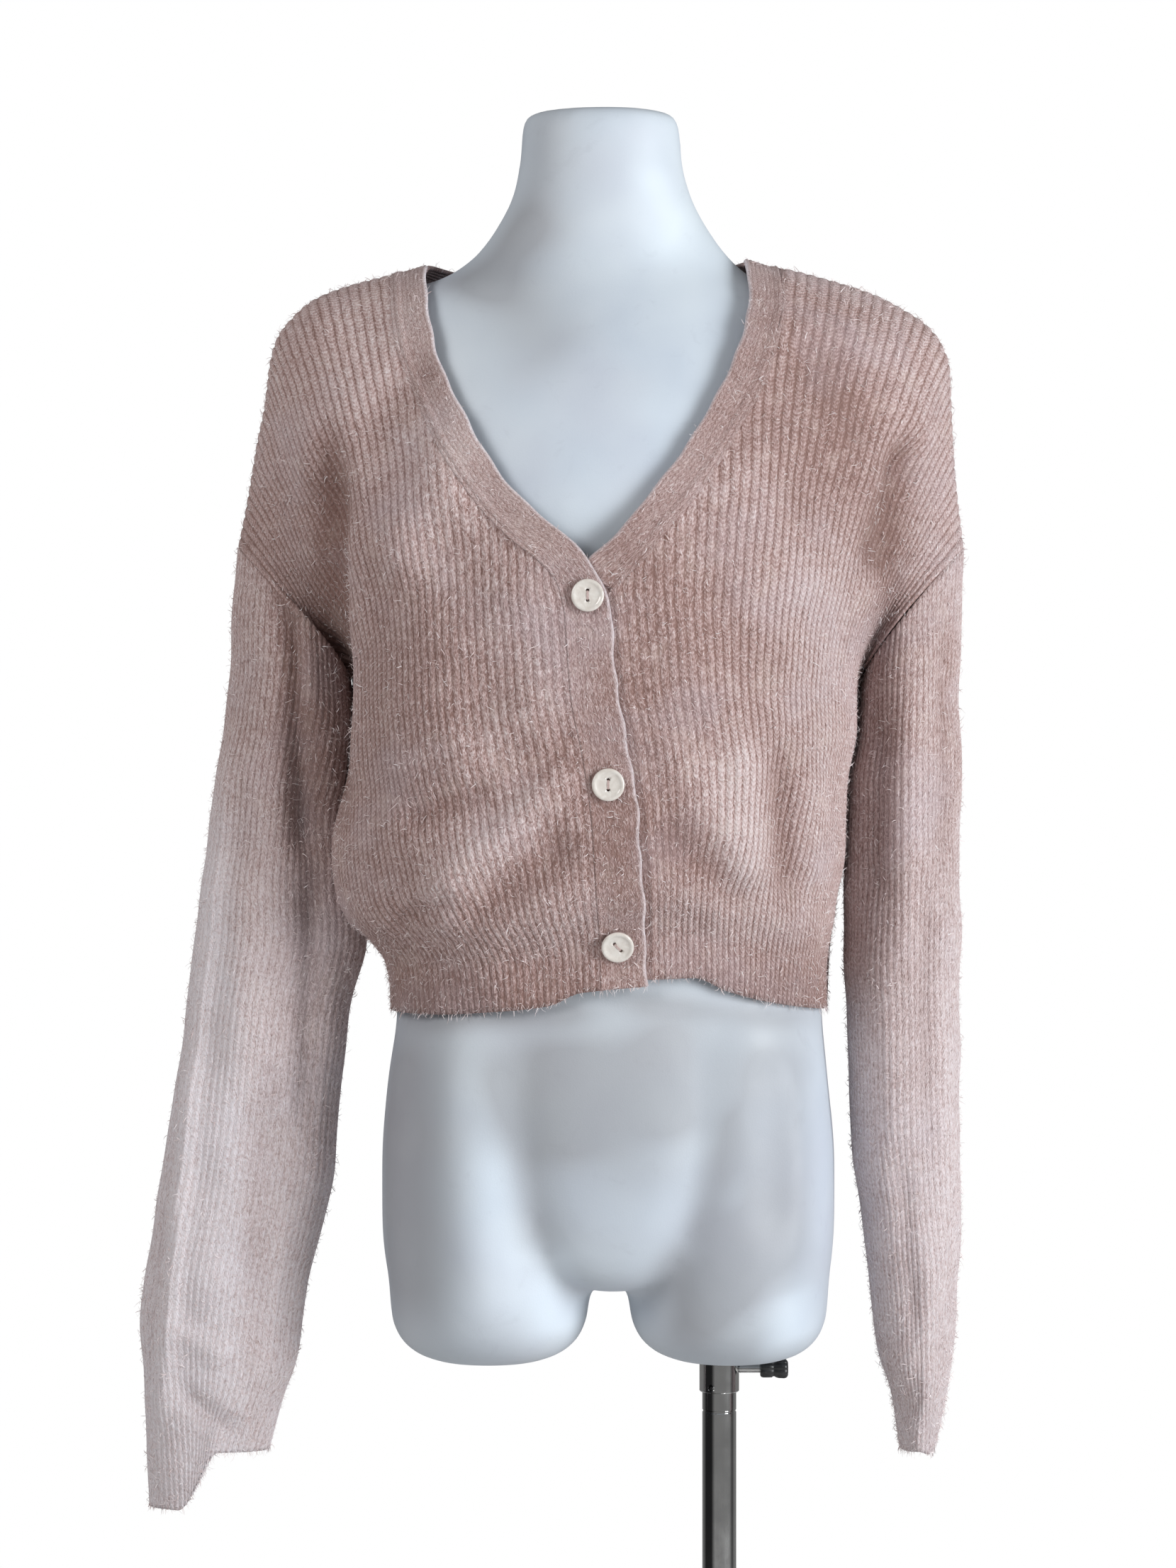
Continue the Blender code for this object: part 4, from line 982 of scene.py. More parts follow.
def band_points(side, rows, shares):
    """The outer face of a front's band, from its free edge to its seam."""
    columns = []
    line = SHOULDER[side]
    for share in shares:
        x, z = edge_curve(side, rows, share)
        z = np.minimum(z, np.interp(side * x, side * line["x"], line["z"]))
        y = depth_at(side, x, z)
        if side < 0:
            y = y + lap(z)
        columns.append(np.stack([x, -y - SEAM_GAP / 2, z + lift(side, x, z)], axis=1))
    return np.stack(columns)


def band_relief(share, neck):
    """The height of the band's face: fine lines, a rolled edge, a lapped seam and the neck's welt."""
    lines = LINE_RISE * np.abs(np.sin(math.pi * BAND_LINES * share))
    roll = EDGE_ROLL * (1 - np.sqrt(1 - np.clip(1 - share / 0.09, 0, 1) ** 2))
    welt = WELT_RISE * np.exp(-(((share - 0.80) / 0.08) ** 2)) * neck
    return lines - roll + welt + SEAM_RISE * ramp(0.84, 0.96, share)


for side in (-1, 1):
    share = np.linspace(0, 1, BAND_COLUMNS)
    points = band_points(side, BAND_ROWS, share * BAND_REACH)
    out = normals(points, False) * side
    neck = ramp(1.06, 1.10, points[..., 2])
    folds = fold_height(FRONT_FOLDS, points[..., 0], points[..., 2])
    points = points + out * (band_relief(share[:, None], neck) + folds)[..., None]
    wander = 0.0006 * np.sin(points[..., 2] * 210) + 0.0005 * np.sin(points[..., 2] * 97 + 1)
    points[..., 0] = points[..., 0] + wander * (1 - share[:, None])
    points[..., 1] = np.minimum(points[..., 1], -SEAM_GAP / 2)
    reach = line_length(points)
    # Painted highlight along the rolled free edge.
    edge_highlight = 0.9 * np.exp(-((share / 0.05) ** 2))[:, None]
    # Painted shade in the folds' troughs and towards the band's bottom, with the fronts' strokes of painted
    # shade and light.
    shade = fold_shade(folds) + BAND_SHADE * (1 - ramp(0.84, 0.96, points[..., 2]))
    shade = shade + fold_height(YARN_SHADE_STROKES, points[..., 0], points[..., 2])
    panel = knit_shell(
        f"knit_band_{SIDES[side]}", points, out, reach, BAND_LINES, shade, BAND_KNIT, BAND_WALL,
        edge_highlight, 0.8 - 0.5 * neck,
    )
    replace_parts(panel, f"band_{SIDES[side]}")

# The neck band follows the back's neckline, and leans over to the inner ends of the two front bands.
stretch = slice(on_neck[0] - 1, on_neck[-1] + 2)
edge, edge_out = back_face[stretch, -1], back_out[stretch, -1]
into_neck = unit(np.cross(edge_out, np.gradient(edge, axis=0)))
into_neck *= np.sign(into_neck[len(edge) // 2, 2]) * NECK_SEAM_LAP
seam = edge + into_neck
share = path_length(seam[:, 0], seam[:, 1])
share = share / share[-1]
arch = np.sin(math.pi * share)
across_neck = (seam[:, 0] - seam[0, 0]) / (seam[-1, 0] - seam[0, 0])
inner_right, inner_left = FRONT_EDGE[-1]["x"][-1], FRONT_EDGE[1]["x"][-1]
inner_x = inner_right + (inner_left - inner_right) * across_neck
columns = []
for across in np.linspace(0, 1, BAND_COLUMNS):
    x = seam[:, 0] + across * (inner_x - seam[:, 0])
    y = seam[:, 1] - across * NECK_BAND_LEAN * arch
    z = seam[:, 2] + across * (NECK_BAND_END_RISE + NECK_BAND_RISE * arch**0.7)
    columns.append(np.stack([x, y, z], axis=1))
points = np.stack(columns)
out = normals(points, False)
out *= np.sign(out[BAND_COLUMNS // 2, len(seam) // 2, 1])
across = np.linspace(1, 0, BAND_COLUMNS)[:, None]
points = points + out * band_relief(across, np.ones((1, len(seam))))[..., None]
points[..., 1] = np.maximum(points[..., 1], SEAM_GAP / 2)
reach = line_length(points)
panel = knit_shell("knit_band_neck", points, out, reach, BAND_LINES, 0.0, BAND_KNIT, BAND_WALL)
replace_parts(panel, "band_neck")

# THE NAP
# Brushing draws fine hairs out of the yarn, which stand a few millimetres off every panel.
# They are thin curved strips, joined into one mesh for each panel.

HAIR_WIDTH = 0.00030
EDGE_HAIRS = 0.03
HAIRS_PER_M2 = 58000
HAIR_LENGTHS = (0.0024, 0.0060)
SHORTER_SHARE = 0.93
THINNER_SHARE = 0.80
HAIR_BENDS = (0.15, 0.5, 0.9)
HAIR_TAPER = (1.0, 1.0, 0.8, 0.35)
HAIR_ROOT_DEPTH = 0.0004
HAIR, shader, at = new_material(
    "drawn_yarn_hair", 1.0, Sheen_Weight=0.3, Sheen_Roughness=0.5, Specular_IOR_Level=0.1
)
strand = at.noise(at.place(), 260.0, 1.0)
at.mix(strand.above(0.35, 3.0), (0.74, 0.60, 0.58), (0.96, 0.91, 0.92)).feeds(shader, "Base Color")


def hairs(name, points, outward, seed):
    """Seeded hairs all over one panel, each of three short strips that curl over."""
    random = np.random.default_rng(seed)
    count = int(cloth_area(points) * HAIRS_PER_M2)
    i = random.integers(0, points.shape[0] - 1, count)
    j = random.integers(0, points.shape[1] - 1, count)
    edge = random.random(count) < EDGE_HAIRS
    j[edge] = 0 if points[0, 0, 2] < points[0, -1, 2] else points.shape[1] - 2
    a, b = random.random((2, count, 1))
    low = points[i, j] * (1 - a) + points[i + 1, j] * a
    high = points[i, j + 1] * (1 - a) + points[i + 1, j + 1] * a
    root = low * (1 - b) + high * b
    out = outward[i, j]
    along = high - low
    kept = np.linalg.norm(along, axis=1) > 1e-5
    along, out, root, edge = along[kept], out[kept], root[kept], edge[kept]
    count = len(root)
    along = unit(along)
    aside = np.cross(out, along)
    turn = random.uniform(0, math.tau, (count, 1))
    downward = math.pi * (points[0, 0, 2] < points[0, -1, 2])
    turn[edge] = downward + random.normal(0, 0.5, (edge.sum(), 1))
    bend = turn + random.normal(0, 0.9, (count, 1))
    lean = random.uniform(0.3, 1.5, (count, 1))
    lean[edge] = 2.5
    first = out * 0.8 + (along * np.cos(turn) + aside * np.sin(turn)) * lean
    last = out * random.uniform(-0.1, 0.7, (count, 1)) + along * np.cos(bend) + aside * np.sin(bend)
    first = unit(first)
    last = unit(last)
    length = random.uniform(*HAIR_LENGTHS, (count, 1))
    length *= 1 + 0.5 * (random.random((count, 1)) > SHORTER_SHARE)
    stations = [root - out * HAIR_ROOT_DEPTH]
    for share in HAIR_BENDS:
        way = first * (1 - share) + last * share
        stations.append(stations[-1] + way * length / len(HAIR_BENDS))
    flat = unit(np.cross(first + last, random.normal(0, 1, (count, 3))))
    flat *= 1 + 0.7 * (random.random((count, 1)) > THINNER_SHARE)
    verts = []
    for station, width in zip(stations, HAIR_TAPER):
        verts += [station - flat * HAIR_WIDTH * width / 2, station + flat * HAIR_WIDTH * width / 2]
    verts = np.stack(verts, axis=1).reshape(-1, 3)
    strip = np.array([[0, 1, 3, 2], [2, 3, 5, 4], [4, 5, 7, 6]])
    faces = (np.arange(count)[:, None, None] * 8 + strip).reshape(-1, 4)
    mesh = bpy.data.meshes.new(name)
    mesh.from_pydata(verts, [], faces)
    piece(name, mesh, HAIR)


for seed, (name, points, outward) in enumerate(NAP):
    hairs(name.replace("knit", "nap"), points, outward, seed)

# THE SEWN SEAMS
# The panels are linked with the same yarn.
# Short stitches cross from one panel to the next round both armholes and down the two sides.

STITCH_RADIUS = 0.00055
STITCH_PITCH = 0.0042
SEAM_DEPTH = 0.0006
STITCH_REACH = 0.004
STITCH_ENDS = 0.0024
SIDE_POINTS = 90
ARMHOLE_POINTS = 60


def rod(bm, radius, depth, segments, place):
    """A round rod along its own Z axis, added to a shape."""
    bmesh.ops.create_cone(
        bm, cap_ends=True, segments=segments, radius1=radius, radius2=radius, depth=depth, matrix=place
    )


def stitches(name, one, other):
    """Short bars of yarn from one panel's edge to the other's, in one mesh."""
    bm = bmesh.new()
    length = line_length(one)
    count = max(2, int(length[-1] / STITCH_PITCH))
    at = (np.arange(count) + 0.5) / count * length[-1]
    for start, end in zip(read_line(one, length, at), read_line(other, length, at)):
        start, end = Vector(start), Vector(end)
        way = end - start
        if way.length <= STITCH_REACH:
            turned = way.to_track_quat("Z", "Y").to_matrix().to_4x4()
            place = Matrix.Translation((start + end) / 2) @ turned
            rod(bm, STITCH_RADIUS, way.length + STITCH_ENDS, 6, place)
    piece(name, to_mesh(name, bm), HAIR)


FACES = {name: (points, outward) for name, points, outward in NAP}

for side in (-1, 1):
    front_face, front_out = FACES[f"knit_front_{SIDES[side]}"]
    sleeve_face, sleeve_out = FACES[f"knit_sleeve_{SIDES[side]}"]
    column = 0 if side < 0 else -1
    half = len(sleeve_face) // 2
    sides = {
        "front": (front_face[-1] - front_out[-1] * SEAM_DEPTH, slice(0, half + 1)),
        "back": (back_face[column] - back_out[column] * SEAM_DEPTH, slice(-1, half - 1, -1)),
    }
    lower = {}
    for label, (edge, ring) in sides.items():
        above = edge[:, 2] > UNDERARM_Z + 0.004
        lower[label] = evenly(edge[edge[:, 2] < UNDERARM_Z - 0.006], SIDE_POINTS)
        head = evenly(sleeve_face[ring, 0] - sleeve_out[ring, 0] * SEAM_DEPTH, ARMHOLE_POINTS)
        stitches(f"armhole_seam_{label}_{SIDES[side]}", evenly(edge[above], ARMHOLE_POINTS), head)
    stitches(f"side_seam_{SIDES[side]}", lower["front"], lower["back"])

# THE BUTTONS
# Three shiny cream buttons of shell-like plastic with a raised rim and two holes.
# Each is sewn to the right front's band with a few turns of thread, and stays done up.

BUTTON_RADIUS = 0.011
BUTTON_THICKNESS = 0.0032
BUTTON_HOLE_RADIUS = 0.0012
BUTTON_HOLE_SPACING = 0.0064
BUTTON_SEAT = 0.0005
BAND_RISE = 0.0006
RIM_POINTS = 16
BUTTONS = table("x z turn", (-0.0130, 1.0510, 0), (0.0007, 0.9250, 0), (0.0071, 0.8010, 42))
BUTTON_SHAPE = (
    (0.0, 0.70), (0.30, 0.71), (0.55, 0.73), (0.68, 0.77), (0.75, 0.86), (0.81, 0.97), (0.87, 1.0),
    (0.93, 0.97), (0.98, 0.85), (1.0, 0.62), (1.0, 0.42), (0.96, 0.22), (0.84, 0.06), (0.70, 0.0),
    (0.0, 0.0),
)
THREAD_RADIUS = 0.00038
THREAD_ASIDE = 0.0004
THREAD_HEIGHT = 0.55
THREAD_FLATNESS = 0.28

SHELL, shader, at = new_material("button_cream", 0.16, Coat_Weight=0.7, Coat_Roughness=0.06)
place = at.place()
pearl = at.noise(place, 130.0, 3.0, 0.6, 1.4)
cloud = at.noise(place, 420.0, 2.0)
colour = at.mix(pearl.above(0.35, 2.6), (0.70, 0.64, 0.58), (0.83, 0.79, 0.74))
colour = at.mix(cloud.above(0.55, 2.0) * 0.5, colour, (0.93, 0.90, 0.86))
colour.feeds(shader, "Base Color")
(pearl * 0.10 + 0.11).feeds(shader, "Roughness")

THREAD, shader, at = new_material("sewing_thread", 0.8)
twist = at.noise(at.place(), 1600.0, 1.0)
at.mix(twist, (0.44, 0.30, 0.27), (0.70, 0.57, 0.54)).feeds(shader, "Base Color")


def finished(name, bm, finish, body, merge=1e-6):
    """A shape as a piece: doubles merged, faces outward, its finish on, riding its body."""
    bmesh.ops.remove_doubles(bm, verts=bm.verts, dist=merge)
    bmesh.ops.recalc_face_normals(bm, faces=bm.faces)
    obj = piece(name, to_mesh(name, bm), finish, body)
    obj.data.set_sharp_from_angle(angle=math.radians(40))
    return obj


def spun(profile, steps, ring=False):
    """A turned shape about the Z axis, from radius and height. A ring's profile is closed to a loop."""
    bm = bmesh.new()
    verts = [bm.verts.new((radius, 0, height)) for radius, height in profile]
    edges = [bm.edges.new(pair) for pair in zip(verts, verts[1:] + verts[:ring])]
    bmesh.ops.spin(bm, geom=verts + edges, axis=(0, 0, 1), angle=math.tau, steps=steps, use_merge=True)
    bmesh.ops.remove_doubles(bm, verts=bm.verts, dist=1e-6)
    return bm


def bake(obj):
    """Applies the piece's modifiers to its mesh."""
    bpy.context.view_layer.update()
    graph = bpy.context.evaluated_depsgraph_get()
    mesh = bpy.data.meshes.new_from_object(obj.evaluated_get(graph))
    obj.modifiers.clear()
    obj.data = mesh


def cut(obj, bm, operation="DIFFERENCE"):
    """Takes a shape out of a piece, or joins it on, and leaves no helper behind."""
    bmesh.ops.recalc_face_normals(bm, faces=bm.faces)
    helper = linked("helper", to_mesh("helper", bm))
    modifier = obj.modifiers.new("cut", "BOOLEAN")
    modifier.operation = operation
    modifier.solver = "EXACT"
    modifier.object = helper
    bake(obj)
    bpy.data.objects.remove(helper, do_unlink=True)


for number, (x, z, turn) in enumerate(zip(*BUTTONS.values()), 1):
    round_rim = np.linspace(0, math.tau, RIM_POINTS + 1)
    x_at = x + BUTTON_RADIUS * np.cos(round_rim)
    z_at = z + BUTTON_RADIUS * np.sin(round_rim)
    y_at = -depth_at(-1, x_at, z_at) - lap(z_at) - SEAM_GAP / 2
    z_at = z_at + lift(-1, x_at, z_at)
    rim_points = [Vector(point) for point in zip(x_at, y_at, z_at)]
    left_end, top_end, right_end, bottom_end = rim_points[:RIM_POINTS:RIM_POINTS // 4]
    out = (left_end - right_end).cross(top_end - bottom_end).normalized()
    middle = sum(rim_points[:RIM_POINTS], Vector()) / RIM_POINTS
    proud = max((point - middle).dot(out) for point in rim_points)
    centre_y = float(-depth_at(-1, np.array([x]), np.array([z]))[0]) - LAP
    proud = max(proud, (Vector((middle.x, centre_y, middle.z)) - middle).dot(out))
    seat = middle + out * (proud + BAND_RISE + BUTTON_SEAT)
    facing = out.to_track_quat("Z", "Y") @ Quaternion((0, 0, 1), math.radians(turn))
    place = Matrix.LocRotScale(seat, facing, None)

    bm = spun([(r * BUTTON_RADIUS, h * BUTTON_THICKNESS) for r, h in BUTTON_SHAPE], 56)
    bmesh.ops.transform(bm, matrix=place, verts=bm.verts)
    button = finished(f"button_shell_{number}", bm, SHELL, "dressed_form")
    holes = bmesh.new()
    for end in (-1, 1):
        hole = place @ Matrix.Translation((0, end * BUTTON_HOLE_SPACING / 2, BUTTON_THICKNESS / 2))
        rod(holes, BUTTON_HOLE_RADIUS, 3 * BUTTON_THICKNESS, 20, hole)
    cut(button, holes)
    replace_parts(button, f"button_{number}")

    thread = bmesh.new()
    for aside in (-THREAD_ASIDE, THREAD_ASIDE):
        start = Matrix.Translation((aside, BUTTON_HOLE_SPACING / 2 - THREAD_ASIDE, 0))
        loop = bmesh.ops.create_circle(thread, segments=8, radius=THREAD_RADIUS, matrix=start)["verts"]
        ring = list({edge for vert in loop for edge in vert.link_edges})
        bmesh.ops.spin(
            thread, geom=loop + ring, cent=(aside, 0, 0), axis=(1, 0, 0), angle=math.pi, steps=14
        )
    bmesh.ops.scale(thread, vec=(1, 1, THREAD_FLATNESS), verts=thread.verts)
    bmesh.ops.translate(thread, vec=(0, 0, BUTTON_THICKNESS * THREAD_HEIGHT), verts=thread.verts)
    bmesh.ops.transform(thread, matrix=place, verts=thread.verts)
    finished(f"button_thread_{number}", thread, THREAD, "dressed_form", 1e-7)

# THE DRESS FORM
# A limbless torso in satin white plastic, with two short thigh stubs and a round socket for the pole.
# It is moulded in one smooth skin, a little bluish, with faint random smudges, and painted shade and
# highlights over it.

FORM = table(
    "z right left front back power",
    (1.3990, 0.0570, 0.0500, 0.0350, 0.0560, 2.0),
    (1.3950, 0.0595, 0.0525, 0.0390, 0.0595, 2.0),
    (1.3700, 0.0605, 0.0530, 0.0410, 0.0600, 2.0),
    (1.3400, 0.0660, 0.0600, 0.0430, 0.0580, 2.0),
    (1.3170, 0.0780, 0.0720, 0.0455, 0.0540, 2.0),
    (1.3000, 0.0900, 0.0840, 0.0480, 0.0490, 2.0),
    (1.2880, 0.1040, 0.0950, 0.0520, 0.0470, 2.0),
    (1.2790, 0.1210, 0.1080, 0.0560, 0.0460, 2.0),
    (1.2730, 0.1440, 0.1190, 0.0595, 0.0470, 2.0),
    (1.2640, 0.1640, 0.1390, 0.0650, 0.0510, 2.0),
    (1.2480, 0.1760, 0.1610, 0.0750, 0.0630, 2.0),
    (1.2180, 0.1800, 0.1750, 0.0925, 0.0800, 2.1),
    (1.1700, 0.1720, 0.1710, 0.1140, 0.0950, 2.2),
    (1.1100, 0.1520, 0.1510, 0.1250, 0.0970, 2.3),
    (1.0500, 0.1390, 0.1390, 0.1120, 0.0930, 2.2),
    (0.9900, 0.1270, 0.1270, 0.0950, 0.0870, 2.2),
    (0.9200, 0.1210, 0.1220, 0.0870, 0.0860, 2.2),
    (0.8500, 0.1330, 0.1360, 0.0930, 0.0990, 2.2),
    (0.7950, 0.1470, 0.1510, 0.0990, 0.1110, 2.4),
    (0.7640, 0.1473, 0.1520, 0.1000, 0.1115, 2.4),
    (0.7200, 0.1535, 0.1560, 0.0990, 0.1150, 2.4),
    (0.6600, 0.1580, 0.1610, 0.0945, 0.1180, 2.4),
    (0.6200, 0.1580, 0.1610, 0.0880, 0.1150, 2.4),
    (0.6000, 0.1570, 0.1600, 0.0820, 0.1100, 2.4),
    (0.5840, 0.1545, 0.1580, 0.0700, 0.1000, 2.4),
)
STUB = table(
    "z half front back",
    (0.7900, 0.0400, 0.0700, 0.0700),
    (0.7500, 0.0600, 0.0950, 0.0950),
    (0.7000, 0.0700, 0.0970, 0.1050),
    (0.6500, 0.0735, 0.0985, 0.1100),
    (0.6100, 0.0730, 0.0985, 0.1100),
    (0.5800, 0.0710, 0.0965, 0.1060),
    (0.5500, 0.0690, 0.0900, 0.1010),
    (0.5350, 0.0620, 0.0810, 0.0910),
    (0.5250, 0.0470, 0.0630, 0.0720),
    (0.5200, 0.0240, 0.0260, 0.0360),
)
STUB_X = {-1: -0.082, 1: 0.086}
STUB_POWER = 2.2
# The belly, which runs down between the thighs in a U.
BELLY = table(
    "z half front back",
    (0.8300, 0.0500, 0.0700, 0.0400),
    (0.7800, 0.0980, 0.1000, 0.0500),
    (0.7200, 0.1000, 0.1065, 0.0500),
    (0.6670, 0.0900, 0.1085, 0.0500),
    (0.6250, 0.0750, 0.1070, 0.0500),
    (0.5980, 0.0570, 0.1000, 0.0500),
    (0.5830, 0.0380, 0.0880, 0.0450),
    (0.5760, 0.0190, 0.0700, 0.0400),
)
BELLY_X = 0.004
BELLY_POWER = 2.7
# Soft swells and troughs over the thighs, as lines in the front view.
MOULDING = strokes(
    (-0.110, 0.740, -0.092, 0.580, 0.026, 0.0035),
    (0.142, 0.740, 0.136, 0.580, 0.016, 0.0040),
    (0.112, 0.750, 0.112, 0.610, 0.018, -0.0045),
)
# Painted shade on the form's skin, and painted highlight where the height is below nought.
SKIN_SHADE_STROKES = strokes(
    (-0.135, 0.770, -0.133, 0.540, 0.026, 0.50),
    (-0.155, 0.770, -0.158, 0.540, 0.012, 0.40),
    (-0.050, 1.410, -0.058, 1.290, 0.028, 0.75),
    (-0.068, 1.345, -0.100, 1.255, 0.032, 0.55),
    (0.035, 1.360, 0.040, 1.280, 0.020, -0.15),
    (0.112, 0.760, 0.116, 0.580, 0.026, 0.75),
    (0.086, 0.640, 0.090, 0.560, 0.024, 0.40),
    (0.030, 0.605, 0.090, 0.565, 0.024, 0.45),
    (0.042, 0.770, 0.045, 0.680, 0.026, 0.40),
    (-0.095, 1.310, -0.025, 1.205, 0.034, 0.45),
    (0.040, 0.560, 0.110, 0.535, 0.022, 0.30),
    (-0.080, 0.750, -0.042, 0.590, 0.013, 0.35),
    (-0.048, 0.610, -0.010, 0.570, 0.011, 0.30),
    (0.094, 0.710, 0.060, 0.610, 0.012, 0.35),
    (-0.035, 0.760, -0.025, 0.660, 0.040, 0.45),
    (0.020, 0.760, 0.025, 0.640, 0.040, 0.25),
    (-0.150, 0.764, 0.000, 0.772, 0.010, 0.50),
    (0.000, 0.778, 0.155, 0.764, 0.010, 0.40),
    (-0.076, 0.690, -0.072, 0.550, 0.018, -0.50),
    (-0.040, 0.615, -0.036, 0.540, 0.022, -0.50),
    (0.152, 0.750, 0.152, 0.590, 0.014, -0.30),
    (0.122, 0.580, 0.130, 0.540, 0.018, -0.30),
)
POLE_X = 0.080
POLE_Y = 0.005
FORM_BOTTOM_Z = 0.520
BORE_RADIUS = 0.0126
BORE_TOP_Z = 0.885
STUB_END_Z = [0.520, 0.5206, 0.5215, 0.523, 0.525, 0.5275, 0.5305, 0.535]
NECK_END_Z = [1.395, 1.3965, 1.398, 1.399]
SKIN_GRAIN = 0.0044

FORM_SKIN, shader, at = new_material("satin_white_form", 0.55, Coat_Weight=0.08, Coat_Roughness=0.40)
place = at.place()
tone = at.noise(place, 6.5, 3.0, 0.55)
rose = at.noise(place, 9.0, 2.0, 0.5)
smudge = at.noise(place, 46.0, 4.0, 0.62, 0.6)
grain = at.noise(place, 900.0, 1.0)
colour = at.mix(tone.above(0.35, 2.6), (0.640, 0.720, 0.820), (0.850, 0.935, 1.000))
colour = at.mix(rose.above(0.50, 3.0) * 0.35, colour, (0.560, 0.540, 0.630))
colour = at.mix(smudge.above(0.60, 5.0) * 0.16, colour, (0.34, 0.36, 0.42))
# The attribute read here carries painted shade, which darkens the skin towards a grey.
skin_shade = at.attribute("skin_shade")
colour = at.mix((skin_shade * (tone * 0.6 + 0.7)).clamped() * 0.62, colour, (0.230, 0.215, 0.225))
colour.feeds(shader, "Base Color")
(smudge * 0.16 + tone * 0.10 + 0.42).feeds(shader, "Roughness")
dimple = at.node("ShaderNodeBump", {"Strength": 0.10, "Distance": 0.0006, "Height": grain + tone * 6.0})
dimple.feeds(shader, "Normal")


def lofted(heights, section, segments, centre):
    """A closed upright skin: rings of a unit circle, drawn up and shaped by the section at each height."""
    bm = bmesh.new()
    ring = bmesh.ops.create_circle(bm, cap_ends=True, radius=1, segments=segments)["verts"]
    edges = list({edge for vert in ring for edge in vert.link_edges})
    bmesh.ops.translate(bm, vec=(0, 0, heights[0]), verts=ring)
    for low, high in zip(heights, heights[1:]):
        drawn = bmesh.ops.extrude_edge_only(bm, edges=edges)["geom"]
        ring = {part for part in drawn if isinstance(part, bmesh.types.BMVert)}
        edges = [e for e in drawn if isinstance(e, bmesh.types.BMEdge) and ring.issuperset(e.verts)]
        bmesh.ops.translate(bm, vec=(0, 0, high - low), verts=list(ring))
    bmesh.ops.edgenet_fill(bm, edges=edges)
    for vert in bm.verts:
        right, left, front_depth, back_depth, power = section(vert.co.z)
        c, s = vert.co.x, vert.co.y
        across = math.copysign(abs(c) ** (2 / power), c) * (left if c > 0 else right)
        forward = math.copysign(abs(s) ** (2 / power), s) * (back_depth if s > 0 else front_depth)
        vert.co.x = centre + across
        vert.co.y = forward
    return bm


def section_at(rows, z, *names):
    """The named columns at a height, of rows that run from the top down."""
    return [float(smooth(-rows["z"], rows[name], -z)) for name in names]


def form_section(z):
    return section_at(FORM, z, "right", "left", "front", "back", "power")


def swell_section(rows, power):
    """The section at each height of a shape that is as wide to the left as to the right."""

    def section(z):
        half, front, back = section_at(rows, z, "half", "front", "back")
        return half, half, front, back, power

    return section


heights = list(np.linspace(FORM["z"][-1], 1.392, 150)) + NECK_END_Z
bm = lofted(heights, form_section, 96, 0.0)
form = finished("form_torso", bm, FORM_SKIN, "dressed_form")
heights = STUB_END_Z + list(np.linspace(0.540, STUB["z"][0], 40))
for side in (-1, 1):
    cut(form, lofted(heights, swell_section(STUB, STUB_POWER), 72, STUB_X[side]), "UNION")
heights = list(np.linspace(BELLY["z"][-1], BELLY["z"][0], 60))
cut(form, lofted(heights, swell_section(BELLY, BELLY_POWER), 72, BELLY_X), "UNION")
remesh = form.modifiers.new("skin", "REMESH")
remesh.mode = "VOXEL"
remesh.voxel_size = SKIN_GRAIN
soften = form.modifiers.new("soften", "SMOOTH")
soften.factor = 0.5
soften.iterations = 30
bake(form)
mesh = form.data
flat = vertex_places(mesh)
x, z = flat[:, 0], flat[:, 2]
in_front = ramp(0.0, 0.05, -flat[:, 1])
flat[:, 1] -= fold_height(MOULDING, x, z) * in_front
mesh.vertices.foreach_set("co", flat.ravel())
# A little grey all over, with painted shade on the right side of the chest, turned from the light, and below
# the hem.
skin_shade = 0.15 + 0.12 * ramp(-0.05, 0.07, -x) * ramp(1.05, 1.15, z) + 0.36 * (1 - ramp(0.80, 0.95, z))
skin_shade = skin_shade + fold_height(SKIN_SHADE_STROKES, x, z) * in_front
mesh.attributes.new("skin_shade", "FLOAT", "POINT").data.foreach_set("value", np.clip(skin_shade, 0, 1))
mesh.update()
bore = bmesh.new()
depth = BORE_TOP_Z - FORM_BOTTOM_Z + 0.02
rod(bore, BORE_RADIUS, depth, 48, Matrix.Translation((POLE_X, POLE_Y, BORE_TOP_Z - depth / 2)))
cut(form, bore)
form.data.shade_smooth()
form.data.set_sharp_from_angle(angle=math.radians(50))
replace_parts(form, "dress_form")

# THE STAND
# A chromed tube is screwed into a round steel base plate, and slides in the form's socket.
# A collar under the form takes a clamp screw with a black knob, and a small set screw.

POLE_RADIUS = 0.012
POLE_TOP_Z = 0.745
COLLAR_RADIUS = 0.014
COLLAR_BORE_RADIUS = 0.0124
COLLAR_LENGTH = 0.023
SCREW_Z = 0.5125
SCREW_RADIUS = 0.0032
SCREW_HOLE_RADIUS = 0.0037
THREAD_TURNS = 22
THREAD_DEPTH = 0.0005
KNOB_START_X = 0.109
KNOB_LENGTH = 0.0195
BASE_RADIUS = 0.190
BASE_THICKNESS = 0.008

CHROME, shader, at = new_material("chromed_steel", 0.10)
shader.inputs["Metallic"].default_value = 1.0
place = at.place()
haze = at.noise(place, 60.0, 3.0, 0.6)
brush = at.noise(at.node("ShaderNodeMapping", {"Vector": place, "Scale": (1.0, 1.0, 0.03)}), 900.0, 2.0)
colour = at.mix(haze, (0.62, 0.62, 0.62), (0.82, 0.815, 0.80))
